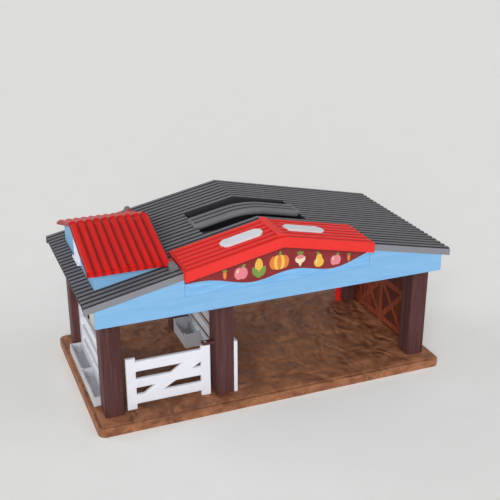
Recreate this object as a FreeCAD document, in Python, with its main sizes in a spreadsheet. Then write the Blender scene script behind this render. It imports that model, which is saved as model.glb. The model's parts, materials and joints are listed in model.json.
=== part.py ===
"""Toy barn: an open two bay shed on six posts under a corrugated saddle roof with a carry grip,
a hinged dormer hatch, a stall gate and a light and sound unit behind the front gable."""
import FreeCAD, Part
import math
import os
import re
import Sketcher
from FreeCAD import Placement, Rotation, Vector

# Driving dimensions in millimetres, degrees and counts
SIZES = {
    # saddle roof
    "eave_reach": 5, "roof_setback": 7, "roof_rise": 42, "ridge_height": 181,
    "roof_plate": 2.5, "rim_drop": 7, "rim_wall": 3,
    "rib_count": 24, "rib_width": 5.6, "rib_height": 1.5, "rib_draft": 0.8,
    "socket_wall": 2.5, "slot_length": 118, "front_slot": 24.5, "rear_slot": 20,
    "slot_strip": 14.5, "grip_width": 22.5, "grip_lift": 3.5, "grip_bend": 110, "grip_lip": 8, "grip_ribs": 2,
    "well_drop": 37, "well_wall": 1.6, "well_gap": 0.5,
    # base and posts
    "base_length": 390, "base_depth": 214, "base_height": 9, "base_wall": 3, "base_skin": 3,
    "base_corner": 8, "base_ribs": 2, "post_side": 20, "post_inset": 21, "post_setback": 30,
    "stall_width": 118, "post_drop": 57, "post_round": 1.2, "edge_ease": 0.5, "base_ease": 1.2,
    "tenon_side": 11, "tenon_length": 7, "foot_tenon": 4, "fit_gap": 0.15,
    # fences and gate
    "fence_height": 60, "fence_thick": 4, "stile_width": 10, "rail_low": 7.5, "rail_low_tall": 10.5,
    "rail_middle": 26, "rail_middle_tall": 10, "rail_top": 44.5, "rail_top_tall": 11.5,
    "gate_width": 89, "gate_gap": 5, "gate_setback": 5, "gate_lift": 1.5, "gate_pin": 3,
    "gate_pin_long": 4, "pin_gap": 0.08, "brace_width": 9.3, "brace_end": 6, "lug_thick": 3, "pivot_boss": 9,
    "side_gap": 8,
    # troughs, wall and pole
    "trough_width": 19, "trough_long": 46, "trough_tall": 13, "trough_end": 18, "trough_wall": 2,
    "side_trough_width": 14, "side_trough_gap": 5, "side_trough_tall": 11,
    "wall_thick": 4, "print_thick": 0.4, "print_margin": 1, "wall_gap": 2.3, "pole_width": 7,
    # fascias
    "fascia_thick": 3, "fascia_drop": 65, "fascia_inset": 10, "panel_inset": 1, "panel_drop": 46,
    # light and sound unit
    "canopy_length": 204, "canopy_depth": 57, "canopy_reach": 7, "canopy_lift": 4, "canopy_band": 11,
    "canopy_plate": 2.5, "canopy_ribs": 6, "canopy_rib_width": 5.2, "canopy_rib_tall": 0.9, "cap_width": 9,
    "window_length": 45, "window_width": 17, "window_offset": 34, "window_setback": 22, "window_cut": 5,
    "window_proud": 1.6, "key_gap": 0.3, "key_flange": 1.5, "key_travel": 1, "stem_width": 6,
    "stem_long": 3.7, "switch_side": 6, "switch_tall": 3.5,
    "plunger_width": 3.4, "plunger_long": 2.8, "plunger_out": 1.3,
    "board_long": 58, "board_wide": 24, "board_thick": 1.6, "board_boss": 5,
    "tray_inset": 12, "tray_depth": 43, "tray_wall": 2, "tray_drop": 45,
    "opening_margin": 4, "cell_width": 14, "cell_long": 49, "cell_gap": 0.6, "case_wall": 1.5,
    "door_thick": 2, "led_board_thick": 1.2, "led_board_long": 120, "led_board_tall": 10,
    "led_width": 4.8, "led_long": 2.5, "led_step": 48, "speaker_width": 28, "speaker_tall": 6,
    "speaker_inset": 28, "boss_inset": 13, "boss_width": 6,
    # dormer
    "dormer_inset": 17, "dormer_gap": 6, "dormer_depth": 145, "dormer_wall": 2.5, "dormer_rise": 7,
    "eave_gap": 0.36, "hatch_eave": 5.5, "hatch_plate": 3, "hatch_reach": 7, "hatch_trim": 0,
    "hatch_ribs": 10, "hatch_rib_width": 8, "hatch_rib_tall": 2, "hatch_margin": 4, "hatch_rib_end": 3,
    "hatch_opening": 12,
    "hinge_round": 7.8, "hinge_height": 4.2, "hinge_long": 9.5, "hinge_pin": 3, "hinge_pin_long": 4,
    "hinge_lug": 2.6, "hinge_gap": 0.4,
    "louvre_width": 20, "louvre_tall": 22, "louvre_lift": 6.4, "louvre_thick": 2.5, "louvre_frame": 2.5,
    "louvre_slats": 4, "sill_width": 26, "sill_tall": 3, "sill_out": 4,
    # screws
    "screw_shank": 2.9, "screw_long": 10, "screw_head": 5.6, "screw_head_tall": 2, "screw_gap": 0.3,
    "pilot_gap": 0.03,
}
# Sizes that follow from the driving ones
FOLLOWS = {
    "roof_width": "(base_length + 2 * eave_reach)",
    "roof_depth": "(base_depth - 2 * roof_setback)",
    "canopy_back": "(canopy_depth - canopy_reach - roof_depth / 2)",
    "grip_centre": "(canopy_back + slot_strip + front_slot + grip_width / 2)",
    "post_span": "(base_length - 2 * post_inset)",
    "post_gap": "(base_depth - 2 * post_setback)",
    "middle_post": "(stall_width - post_span / 2)",
    "post_top": "(ridge_height - post_drop)",
    "side_trough_long": "(post_gap - post_side - 2 * side_trough_gap)",
    "fascia_bottom": "(ridge_height - fascia_drop)",
    "fascia_length": "(roof_width - 2 * fascia_inset)",
    "panel_length": "(canopy_length - 2 * panel_inset)",
    "panel_bottom": "(ridge_height - panel_drop)",
    "tray_length": "(canopy_length - 2 * tray_inset)",
    "tray_floor": "(ridge_height - tray_drop)",
    "speaker_offset": "(tray_length / 2 - speaker_inset)",
    "boss_offset": "(tray_length / 2 - boss_inset)",
    "dormer_left": "(roof_width / 2 - dormer_inset)",
    "dormer_right": "(canopy_length / 2 + dormer_gap)",
    "dormer_ridge": "(ridge_height + dormer_rise)",
    "dormer_eave": "(ridge_height - 2 * roof_rise / roof_width * hatch_right + rib_height + eave_gap)",
    "hatch_depth": "(dormer_depth + 2 * hatch_eave)",
    "hatch_left": "(dormer_left + hatch_reach)",
    "hatch_right": "(dormer_right - hatch_trim)",
    "louvre_base": "(ridge_height - 2 * roof_rise / roof_width * dormer_left + louvre_lift)",
}
WORD = re.compile(r"[a-z_]+")

doc = FreeCAD.newDocument("toy_barn")
sheet = doc.addObject("Spreadsheet::Sheet", "dims")
for row, (alias, size) in enumerate(SIZES.items(), start=1):
    sheet.set(f"A{row}", alias)
    sheet.set(f"B{row}", str(size))
    sheet.setAlias(f"B{row}", alias)
doc.recompute()
nodes = []


def formula(text):
    """Spell out the sizes that follow from others, and point the driving ones at the sheet."""
    def spell(word):
        if word[0] in FOLLOWS:
            return formula(FOLLOWS[word[0]])
        return "dims." + word[0] if word[0] in SIZES else word[0]
    return WORD.sub(spell, text)


def bind(item, path, text):
    item.setExpression(path, formula(text))


def keep(item):
    """Mark an object as a finished piece, written under its own label."""
    nodes.append(item)
    return item


def body(label):
    return doc.addObject("PartDesign::Body", label)


def origin_part(owner, role):
    return next(part for part in owner.Origin.OriginFeatures if part.Role == role)


def draw_loop(sketch, points):
    """Draw one closed outline whose corners are formulas."""
    first = sketch.GeometryCount
    count = len(points)
    spots = []
    for turn in range(count):
        angle = 2 * math.pi * turn / count
        spots.append(Vector(10 * math.cos(angle) + first, 10 * math.sin(angle), 0))
    for turn in range(count):
        sketch.addGeometry(Part.LineSegment(spots[turn], spots[(turn + 1) % count]))
    for turn in range(count):
        after = first + (turn + 1) % count
        sketch.addConstraint(Sketcher.Constraint("Coincident", first + turn, 2, after, 1))
    for turn, (across, up) in enumerate(points):
        for kind, text, start in (("DistanceX", across, spots[turn].x), ("DistanceY", up, spots[turn].y)):
            index = sketch.addConstraint(Sketcher.Constraint(kind, -1, 1, first + turn, 1, start))
            bind(sketch, f"Constraints[{index}]", text)


def draw_ring(sketch, across, up, width):
    """Draw one circle with formulas for its centre and diameter."""
    index = sketch.addGeometry(Part.Circle(Vector(5 + sketch.GeometryCount, 5, 0), Vector(0, 0, 1), 3))
    for kind, text in (("DistanceX", across), ("DistanceY", up)):
        place = sketch.addConstraint(Sketcher.Constraint(kind, -1, 1, index, 3, 5.0))
        bind(sketch, f"Constraints[{place}]", text)
    size = sketch.addConstraint(Sketcher.Constraint("Diameter", index, 6.0))
    bind(sketch, f"Constraints[{size}]", width)


def draw_arch(sketch, across, foot, width, tall):
    """Draw a round back over a flat foot, with formulas for its middle, foot, width and height."""
    left, right = f"{across} - ({width}) / 2", f"{across} + ({width}) / 2"
    texts = (left, right, foot, tall)
    low, high, down, rise = [float(sheet.evalExpression(formula(text))) for text in texts]
    ends = [Vector(low, down, 0), Vector(high, down, 0)]
    line = sketch.addGeometry(Part.LineSegment(*ends))
    back = sketch.addGeometry(Part.Arc(ends[1], Vector((low + high) / 2, down + rise, 0), ends[0]))
    sketch.addConstraint(Sketcher.Constraint("Coincident", line, 2, back, 1))
    sketch.addConstraint(Sketcher.Constraint("Coincident", line, 1, back, 2))
    for end, text in ((1, left), (2, right)):
        for kind, place_text, start in (("DistanceX", text, ends[end - 1].x), ("DistanceY", foot, down)):
            index = sketch.addConstraint(Sketcher.Constraint(kind, -1, 1, line, end, start))
            bind(sketch, f"Constraints[{index}]", place_text)
    index = sketch.addConstraint(Sketcher.Constraint("Radius", back, (high - low) / 2))
    bind(sketch, f"Constraints[{index}]", f"(({width}) ^ 2 / 4 + ({tall}) ^ 2) / (2 * ({tall}))")


def sketch_on(owner, role, loops, offset):
    """Sketch loops on an origin plane: corners are an outline, three formulas a circle, four an arch."""
    sketch = owner.newObject("Sketcher::SketchObject", "Outline")
    sketch.AttachmentSupport = [(origin_part(owner, role), "")]
    sketch.MapMode = "FlatFace"
    bind(sketch, "AttachmentOffset.Base.z", offset)
    for loop in loops:
        if isinstance(loop, list):
            draw_loop(sketch, loop)
        elif len(loop) == 3:
            draw_ring(sketch, *loop)
        else:
            draw_arch(sketch, *loop)
    return sketch


def pad(owner, role, loops, low, high):
    """Add material between two heights along the plane's axis."""
    offset = f"-({high})" if role == "XZ_Plane" else low
    feature = owner.newObject("PartDesign::Pad", "Pad")
    feature.Profile = sketch_on(owner, role, loops, offset)
    bind(feature, "Length", f"({high}) - ({low})")
    return feature


def pocket(owner, role, loops, low, high):
    """Remove material between two heights along the plane's axis."""
    offset = f"-({low})" if role == "XZ_Plane" else high
    feature = owner.newObject("PartDesign::Pocket", "Pocket")
    feature.Profile = sketch_on(owner, role, loops, offset)
    bind(feature, "Length", f"({high}) - ({low})")
    return feature


def slope_pad(owner, role, loops, offset, direction, length):
    """Add material that runs down a slope, with the profile's own plane at both ends."""
    feature = owner.newObject("PartDesign::Pad", "Slope")
    feature.Profile = sketch_on(owner, role, loops, offset)
    feature.UseCustomVector = True
    feature.AlongSketchNormal = True
    feature.Direction = Vector(*[1 if text == "1" else -1 if text == "-1" else 0 for text in direction])
    for axis, text in zip("xyz", direction):
        bind(feature, f"Direction.{axis}", text)
    bind(feature, "Length", length)
    return feature


def repeat(owner, features, axis, length, count):
    """Repeat features along an origin axis."""
    pattern = owner.newObject("PartDesign::LinearPattern", "Row")
    pattern.Originals = features
    pattern.Direction = (origin_part(owner, axis), [""])
    bind(pattern, "Length", length)
    bind(pattern, "Occurrences", count)
    owner.Tip = pattern
    return pattern


def round_edges(owner, base, radius, wanted):
    """Round the edges of a feature that a test picks."""
    doc.recompute()
    names = [f"Edge{index}" for index, edge in enumerate(base.Shape.Edges, start=1) if wanted(edge)]
    feature = owner.newObject("PartDesign::Fillet", "Round")
    feature.Base = (base, names)
    bind(feature, "Radius", radius)
    return feature


def ease_edges(owner, base, size, wanted):
    """Take the sharpness off the edges of a feature that a test picks."""
    doc.recompute()
    names = [f"Edge{index}" for index, edge in enumerate(base.Shape.Edges, start=1) if wanted(edge)]
    feature = owner.newObject("PartDesign::Chamfer", "Ease")
    feature.Base = (base, names)
    bind(feature, "Size", size)
    return feature


def upright(edge):
    return abs(edge.tangentAt(edge.FirstParameter).z) > 0.999


def along_face(edge):
    """Edges in the face of a flat panel that stands across Y."""
    return abs(edge.tangentAt(edge.FirstParameter).y) < 0.5


def top_edge(shape):
    """Test for the edges at the very top of a shape."""
    top = shape.BoundBox.ZMax
    return lambda edge: abs(edge.BoundBox.ZMin - top) < 1e-4


def rectangle(low_u, high_u, low_v, high_v):
    return [(low_u, low_v), (high_u, low_v), (high_u, high_v), (low_u, high_v)]


def square(centre_u, centre_v, side):
    half = f"({side}) / 2"
    return rectangle(f"{centre_u} - {half}", f"{centre_u} + {half}",
                     f"{centre_v} - {half}", f"{centre_v} + {half}")


def eight_sided(across, along, width):
    """Eight-sided outline for small fasteners and their holes."""
    corners = []
    for turn in range(8):
        angle = math.radians(22.5 + 45 * turn)
        corners.append((f"{across} + ({width}) / 2 * ({math.cos(angle):.6f})",
                        f"{along} + ({width}) / 2 * ({math.sin(angle):.6f})"))
    return corners


def place(item, across, along, up):
    for axis, text in zip("xyz", (across, along, up)):
        bind(item, f"Placement.Base.{axis}", text)
    return item


def cylinder(label, width, long, axis, across, along, up):
    """A round bar from a point along X, Y or Z."""
    bar = doc.addObject("Part::Cylinder", label)
    turn = {"x": Rotation(Vector(0, 1, 0), 90), "y": Rotation(Vector(1, 0, 0), -90), "z": Rotation()}[axis]
    bar.Placement = Placement(Vector(), turn)
    bind(bar, "Radius", f"({width}) / 2")
    bind(bar, "Height", long)
    return place(bar, across, along, up)


def join(label, shapes):
    whole = doc.addObject("Part::MultiFuse", label)
    whole.Shapes = shapes
    return whole


def group(label, shapes):
    whole = doc.addObject("Part::Compound", label)
    whole.Links = shapes
    return whole


def tilt(item, side):
    """Lay a piece on the light unit's slope at its window, on the left or right side."""
    item.Placement = Placement(Vector(), Rotation(Vector(0, int(side), 0), 10))
    bind(item, "Placement.Rotation.Angle", f"atan({SLOPE})")
    place(item, f"{side} * window_offset", WINDOW_ALONG, f"{CANOPY_TOP} - {SLOPE} * window_offset")
    return item


# Derived formulas
SLOPE = "(2 * roof_rise / roof_width)"
FRONT = "(-roof_depth / 2)"
BACK = "(roof_depth / 2)"
RIB_STEP = "(roof_depth / rib_count)"
POST_X = "(post_span / 2)"
POST_Y = "(post_gap / 2)"
SOCKET = "(post_side + 2 * socket_wall)"
TENON_HOLE = "(tenon_side + 2 * fit_gap)"
PLATE_UNDER = "(ridge_height - roof_plate)"
RIM_UNDER = "(ridge_height - rim_drop)"
CANOPY_TOP = "(ridge_height + canopy_lift)"
CANOPY_FRONT = f"({FRONT} - canopy_reach)"
CANOPY_BACK = "canopy_back"
WINDOW_ALONG = f"({FRONT} + window_setback)"
TRAY_FRONT = f"({FRONT} + fascia_thick)"
TRAY_BACK = f"({TRAY_FRONT} + tray_depth)"
FLOOR_TOP = "(tray_floor + tray_wall)"
GATE_LEFT = "(middle_post - post_side / 2 - gate_gap - gate_width)"
GATE_AXIS = "(middle_post - post_side / 2 - gate_gap - stile_width / 2)"
GATE_PLANE = f"(-{POST_Y} - post_side / 2 + gate_setback)"
GATE_FOOT = "(base_height + gate_lift)"
GATE_TOP = f"({GATE_FOOT} + fence_height - gate_lift)"
HATCH_SLOPE = "(2 * (dormer_ridge - hatch_plate - dormer_eave) / hatch_depth)"
HINGE_UP = f"(ridge_height - {SLOPE} * dormer_right + hinge_height)"
HATCH_FRONT = "(-hatch_depth / 2)"
HINGE_FACE = f"({HATCH_FRONT} - hinge_lug - hinge_gap)"
CASE_LONG = "(cell_long + 2 * cell_gap + 2 * case_wall)"
CASE_WIDE = "(2 * cell_width + 3 * cell_gap + 2 * case_wall)"
CASE_TALL = "(cell_width + 2 * cell_gap + case_wall)"
CASE_ALONG = f"({TRAY_FRONT} + led_long + led_board_thick + {CASE_WIDE} / 2 + cell_gap)"

DORMER_EDGE = "(dormer_depth / 2 + fit_gap)"
LUG_LOW = "(-dormer_right - hinge_round / 2 - fit_gap)"
LUG_HIGH = "(hinge_round / 2 + fit_gap - dormer_right)"
DORMER_SEATS = (
    ("(-dormer_left - fit_gap)", "(fit_gap - dormer_right)", f"-{DORMER_EDGE}", DORMER_EDGE),
    (LUG_LOW, LUG_HIGH, HINGE_FACE, f"-{DORMER_EDGE}"),
    (LUG_LOW, LUG_HIGH, DORMER_EDGE, f"-{HINGE_FACE}"),
)

POSTS = (
    ("post_front_left", f"-{POST_X}", f"-{POST_Y}"),
    ("post_front_middle", "middle_post", f"-{POST_Y}"),
    ("post_front_right", POST_X, f"-{POST_Y}"),
    ("post_rear_left", f"-{POST_X}", POST_Y),
    ("post_rear_middle", "middle_post", POST_Y),
    ("post_rear_right", POST_X, POST_Y),
)


def under_slope(height, across):
    """Height of a sloping roof line at a distance from the ridge."""
    return f"({height} - {SLOPE} * abs({across}))"


def saddle(owner, loops, start, length):
    """Run one profile down both slopes of the main roof."""
    right = slope_pad(owner, "YZ_Plane", loops, start, ("1", "0", f"-{SLOPE}"), length)
    left = slope_pad(owner, "YZ_Plane", loops, f"-({start})", ("-1", "0", f"-{SLOPE}"), length)
    return [right, left]


def base():
    """Hollow moulded floor with a boss, tenon hole and screw hole under each post."""
    part = body("base")
    sides = rectangle("-base_length / 2", "base_length / 2", "-base_depth / 2", "base_depth / 2")
    plate = pad(part, "XY_Plane", [sides], "0", "base_height")
    rounded = round_edges(part, plate, "base_corner", upright)
    doc.recompute()
    ease_edges(part, rounded, "base_ease", top_edge(rounded.Shape))
    inner = rectangle("base_wall - base_length / 2", "base_length / 2 - base_wall",
                      "base_wall - base_depth / 2", "base_depth / 2 - base_wall")
    under = "(base_height - base_skin)"
    pocket(part, "XY_Plane", [inner], "0", under)
    pad(part, "XY_Plane", [square(across, along, SOCKET) for _, across, along in POSTS], "0", under)
    long_rib = rectangle("base_wall - base_length / 2", "base_length / 2 - base_wall",
                         "-base_ribs / 2", "base_ribs / 2")
    pad(part, "XY_Plane", [long_rib], "0", under)
    for across in ("middle_post", f"(middle_post + {POST_X}) / 2"):
        cross_rib = rectangle(f"{across} - base_ribs / 2", f"{across} + base_ribs / 2",
                              "base_wall - base_depth / 2", "base_depth / 2 - base_wall")
        pad(part, "XY_Plane", [cross_rib], "0", under)
    boss_top = "base_height + gate_lift - fit_gap * 2"
    pad(part, "XY_Plane", [(GATE_AXIS, GATE_PLANE, "pivot_boss")], "base_height - gate_pin_long", boss_top)
    pocket(part, "XY_Plane", [(GATE_AXIS, GATE_PLANE, "gate_pin + 2 * pin_gap")],
           "base_height - gate_pin_long", boss_top)
    pocket(part, "XY_Plane", [square(across, along, TENON_HOLE) for _, across, along in POSTS],
           "base_height - foot_tenon", "base_height")
    shanks = [eight_sided(across, along, "screw_shank + screw_gap") for _, across, along in POSTS]
    pocket(part, "XY_Plane", shanks, "0", "base_height")
    heads = [eight_sided(across, along, "screw_head + 2 * screw_gap") for _, across, along in POSTS]
    pocket(part, "XY_Plane", heads, "0", "screw_head_tall + screw_gap")
    keep(part)


def post(label, across, along):
    """Square post with a tenon at each end and a pilot hole for its screw."""
    part = body(label)
    shaft = pad(part, "XY_Plane", [square("0", "0", "post_side")], "base_height", "post_top")
    round_edges(part, shaft, "post_round", upright)
    pad(part, "XY_Plane", [square("0", "0", "tenon_side")], "post_top", "post_top + tenon_length")
    pad(part, "XY_Plane", [square("0", "0", "tenon_side")], "base_height - foot_tenon", "base_height")
    pocket(part, "XY_Plane", [eight_sided("0", "0", "screw_shank + 2 * pilot_gap")],
           "base_height - foot_tenon", "screw_head_tall + screw_gap + screw_long + fit_gap")
    if label == "post_front_middle":
        reach = "gate_gap + stile_width / 2 + gate_pin"
        plane = f"({GATE_PLANE} + {POST_Y})"
        lug = rectangle(f"-post_side / 2 - ({reach})", "0", f"{plane} - gate_pin", f"{plane} + gate_pin")
        low = f"{GATE_TOP} + fit_gap * 2"
        pad(part, "XY_Plane", [lug], low, f"{low} + lug_thick")
        pocket(part, "XY_Plane", [(f"{GATE_AXIS} - middle_post", plane, "gate_pin + 2 * pin_gap")],
               low, f"{low} + lug_thick")
    place(part, across, along, "0")
    keep(part)


def fence_outline(length):
    """Two stiles and three rails, as one outline with two gaps."""
    inner = f"({length} - stile_width)"
    top = "(rail_top + rail_top_tall)"
    outer = [("0", "0"), ("stile_width", "0"), ("stile_width", "rail_low"), (inner, "rail_low"),
             (inner, "0"), (length, "0"), (length, "fence_height"), (inner, "fence_height"), (inner, top),
             ("stile_width", top), ("stile_width", "fence_height"), ("0", "fence_height")]
    low_gap = rectangle("stile_width", inner, "rail_low + rail_low_tall", "rail_middle")
    high_gap = rectangle("stile_width", inner, "rail_middle + rail_middle_tall", "rail_top")
    return [outer, low_gap, high_gap]


def fence(label, length, across, along):
    """White rail fence along the barn's depth, standing on the floor."""
    part = body(label)
    panel = pad(part, "XZ_Plane", fence_outline(length), "0", "fence_thick")
    ease_edges(part, panel, "edge_ease", along_face)
    part.Placement = Placement(Vector(), Rotation(Vector(0, 0, 1), 90))
    place(part, across, along, "base_height")
    keep(part)


def gate():
    """Stall gate with a wide brace, turning on pins at the foot and head of its right stile."""
    part = body("front_gate")
    outer, low_gap, high_gap = fence_outline("gate_width")
    lowered = [[(u, f"max({v}; gate_lift)") for u, v in loop] for loop in (outer, low_gap, high_gap)]
    pad(part, "XZ_Plane", lowered, "0", "fence_thick")
    inner = "(gate_width - stile_width)"
    top = "(rail_top + rail_top_tall / 2)"
    brace = [("stile_width", "rail_low + rail_low_tall / 2"),
             ("stile_width + brace_width * 2", "rail_low + rail_low_tall / 2"),
             (inner, "rail_middle + rail_middle_tall + brace_end"), (inner, top),
             (f"{inner} - brace_width", top)]
    panel = pad(part, "XZ_Plane", [brace], "0", "fence_thick")
    ease_edges(part, panel, "edge_ease", along_face)
    axis = ("gate_width - stile_width / 2", "fence_thick / 2", "gate_pin")
    pad(part, "XY_Plane", [axis], "fence_height", "fence_height + lug_thick")
    pad(part, "XY_Plane", [axis], "gate_lift - gate_pin_long", "gate_lift")
    place(part, GATE_LEFT, f"{GATE_PLANE} - fence_thick / 2", "base_height")
    keep(part)


def troughs():
    """Feed trough with raised ends beside the partition, and a double trough outside the side fence."""
    part = body("feed_trough")
    half = "trough_long / 2"
    dip = f"({half} - trough_wall * 3)"
    block = [(f"-{half}", "0"), (half, "0"), (half, "trough_end"), (dip, "trough_end"), (dip, "trough_tall"),
             (f"-{dip}", "trough_tall"), (f"-{dip}", "trough_end"), (f"-{half}", "trough_end")]
    pad(part, "YZ_Plane", [block], "0", "trough_width")
    hollow = rectangle("trough_wall", "trough_width - trough_wall",
                       f"trough_wall - {half}", f"{half} - trough_wall")
    pocket(part, "XY_Plane", [hollow], "trough_wall", "trough_end")
    place(part, "middle_post + post_side / 2 - trough_width",
          f"{POST_Y} - post_side / 2 - trough_long / 2", "base_height")
    keep(part)
    part = body("side_trough")
    half = "side_trough_long / 2"
    pad(part, "XY_Plane", [rectangle("0", "side_trough_width", f"-{half}", half)], "0", "side_trough_tall")
    near, far = "trough_wall", "side_trough_width - trough_wall"
    cells = [rectangle(near, far, f"trough_wall - {half}", "-trough_wall"),
             rectangle(near, far, "trough_wall", f"{half} - trough_wall")]
    pocket(part, "XY_Plane", cells, "trough_wall", "side_trough_tall")
    notch = rectangle("-trough_wall / 2", "trough_wall / 2", "side_trough_tall / 2", "side_trough_tall")
    pocket(part, "YZ_Plane", [notch], "0", "trough_wall")
    place(part, f"-{POST_X} - fence_thick / 2 - side_trough_width", "0", "base_height")
    keep(part)


def side_wall():
    """Board wall between the right posts, its printed sheet and the red pole beside the rear post."""
    part = body("side_wall")
    reach = f"({POST_Y} - post_side / 2)"
    shoulder = f"({POST_Y} - {SOCKET} / 2 - fit_gap)"
    outside = f"({POST_X} + post_side / 2 - fence_thick / 2)"
    wall_top = f"({under_slope(PLATE_UNDER, outside)} - wall_gap)"
    shape = [(f"-{reach}", "base_height"), (reach, "base_height"), (reach, "post_top - fit_gap"),
             (shoulder, "post_top - fit_gap"), (shoulder, wall_top), (f"-{shoulder}", wall_top),
             (f"-{shoulder}", "post_top - fit_gap"), (f"-{reach}", "post_top - fit_gap")]
    pad(part, "YZ_Plane", [shape], f"{outside} - wall_thick", outside)
    keep(part)
    sheet_part = body("wall_print")
    face = rectangle(f"print_margin - {reach}", f"{reach} - print_margin",
                     "base_height + print_margin", "post_top - print_margin")
    pad(sheet_part, "YZ_Plane", [face], f"{outside} - wall_thick - print_thick", f"{outside} - wall_thick")
    keep(sheet_part)
    inside = f"({POST_X} - post_side / 2 - socket_wall - fit_gap)"
    across = f"({inside} - pole_width / 2)"
    tall = f"{under_slope(PLATE_UNDER, inside)} - base_height - fit_gap"
    keep(cylinder("red_pole", "pole_width", tall, "z", across, f"{POST_Y} - post_side / 4", "base_height"))


def roof_shell():
    """Corrugated saddle roof: rimmed plate, post sockets, ribs, seats for its units, slots and grip."""
    part = body("roof_moulding")
    plate = [(FRONT, RIM_UNDER), (FRONT, "ridge_height"), (BACK, "ridge_height"), (BACK, RIM_UNDER),
             (f"{BACK} - rim_wall", RIM_UNDER), (f"{BACK} - rim_wall", PLATE_UNDER),
             (f"{FRONT} + rim_wall", PLATE_UNDER), (f"{FRONT} + rim_wall", RIM_UNDER)]
    saddle(part, [plate], "0", "roof_width / 2")
    sockets = [spot for spot in POSTS if spot[0] != "post_front_middle"]
    for _, across, along in sockets:
        left = f"({across} - {SOCKET} / 2)"
        right = f"({across} + {SOCKET} / 2)"
        block = [(left, "post_top"), (right, "post_top"),
                 (right, under_slope("ridge_height - roof_plate / 2", right)),
                 (left, under_slope("ridge_height - roof_plate / 2", left))]
        pad(part, "XZ_Plane", [block], f"{along} - {SOCKET} / 2", f"{along} + {SOCKET} / 2")
    pocket(part, "XY_Plane", [square(across, along, TENON_HOLE) for _, across, along in sockets],
           "post_top", "post_top + tenon_length + 1")
    start = f"({FRONT} + {RIB_STEP} / 2)"
    foot = "(ridge_height - roof_plate / 2)"
    rib = [(f"{start} - rib_width / 2", foot), (f"{start} + rib_width / 2", foot),
           (f"{start} + rib_width / 2 - rib_draft", "ridge_height + rib_height"),
           (f"{start} - rib_width / 2 + rib_draft", "ridge_height + rib_height")]
    ribs = saddle(part, [rib], "0", "roof_width / 2")
    repeat(part, ribs, "Y_Axis", f"roof_depth - {RIB_STEP}", "rib_count")
    clear = "rib_height + roof_plate"
    edge = "(canopy_length / 2 + fit_gap)"
    seat = [(f"-{edge}", under_slope("ridge_height", edge)), ("0", "ridge_height"),
            (edge, under_slope("ridge_height", edge)), (edge, f"ridge_height + {clear}"),
            (f"-{edge}", f"ridge_height + {clear}")]
    pocket(part, "XZ_Plane", [seat], FRONT, f"{CANOPY_BACK} + fit_gap")
    for low, high, near, far in DORMER_SEATS:
        seat = [(low, under_slope("ridge_height", low)), (high, under_slope("ridge_height", high)),
                (high, f"ridge_height + {clear}"), (low, f"ridge_height + {clear}")]
        pocket(part, "XZ_Plane", [seat], near, far)
    deep = f"{under_slope('ridge_height', 'roof_width / 2')} - rim_drop"
    tall = f"ridge_height + {clear}"
    half = "slot_length / 2"
    grip_front = "(grip_centre - grip_width / 2)"
    grip_back = "(grip_centre + grip_width / 2)"
    hand = rectangle(f"-{half}", half, f"{grip_front} - front_slot", f"{grip_back} + rear_slot")
    unit = rectangle("opening_margin - tray_length / 2", "tray_length / 2 - opening_margin",
                     f"{FRONT} + fascia_thick + opening_margin", f"{TRAY_BACK} - opening_margin")
    hatch = rectangle("hatch_opening - dormer_left", "-dormer_right - hatch_opening",
                      "hatch_opening - dormer_depth / 2", "dormer_depth / 2 - hatch_opening")
    pocket(part, "XY_Plane", [hand, unit, hatch], deep, tall)
    parts = [part, carry_grip()]
    for side in ("1", "-1"):
        parts.append(hinge_cheek(side))
    keep(join("roof_shell", parts))


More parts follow.
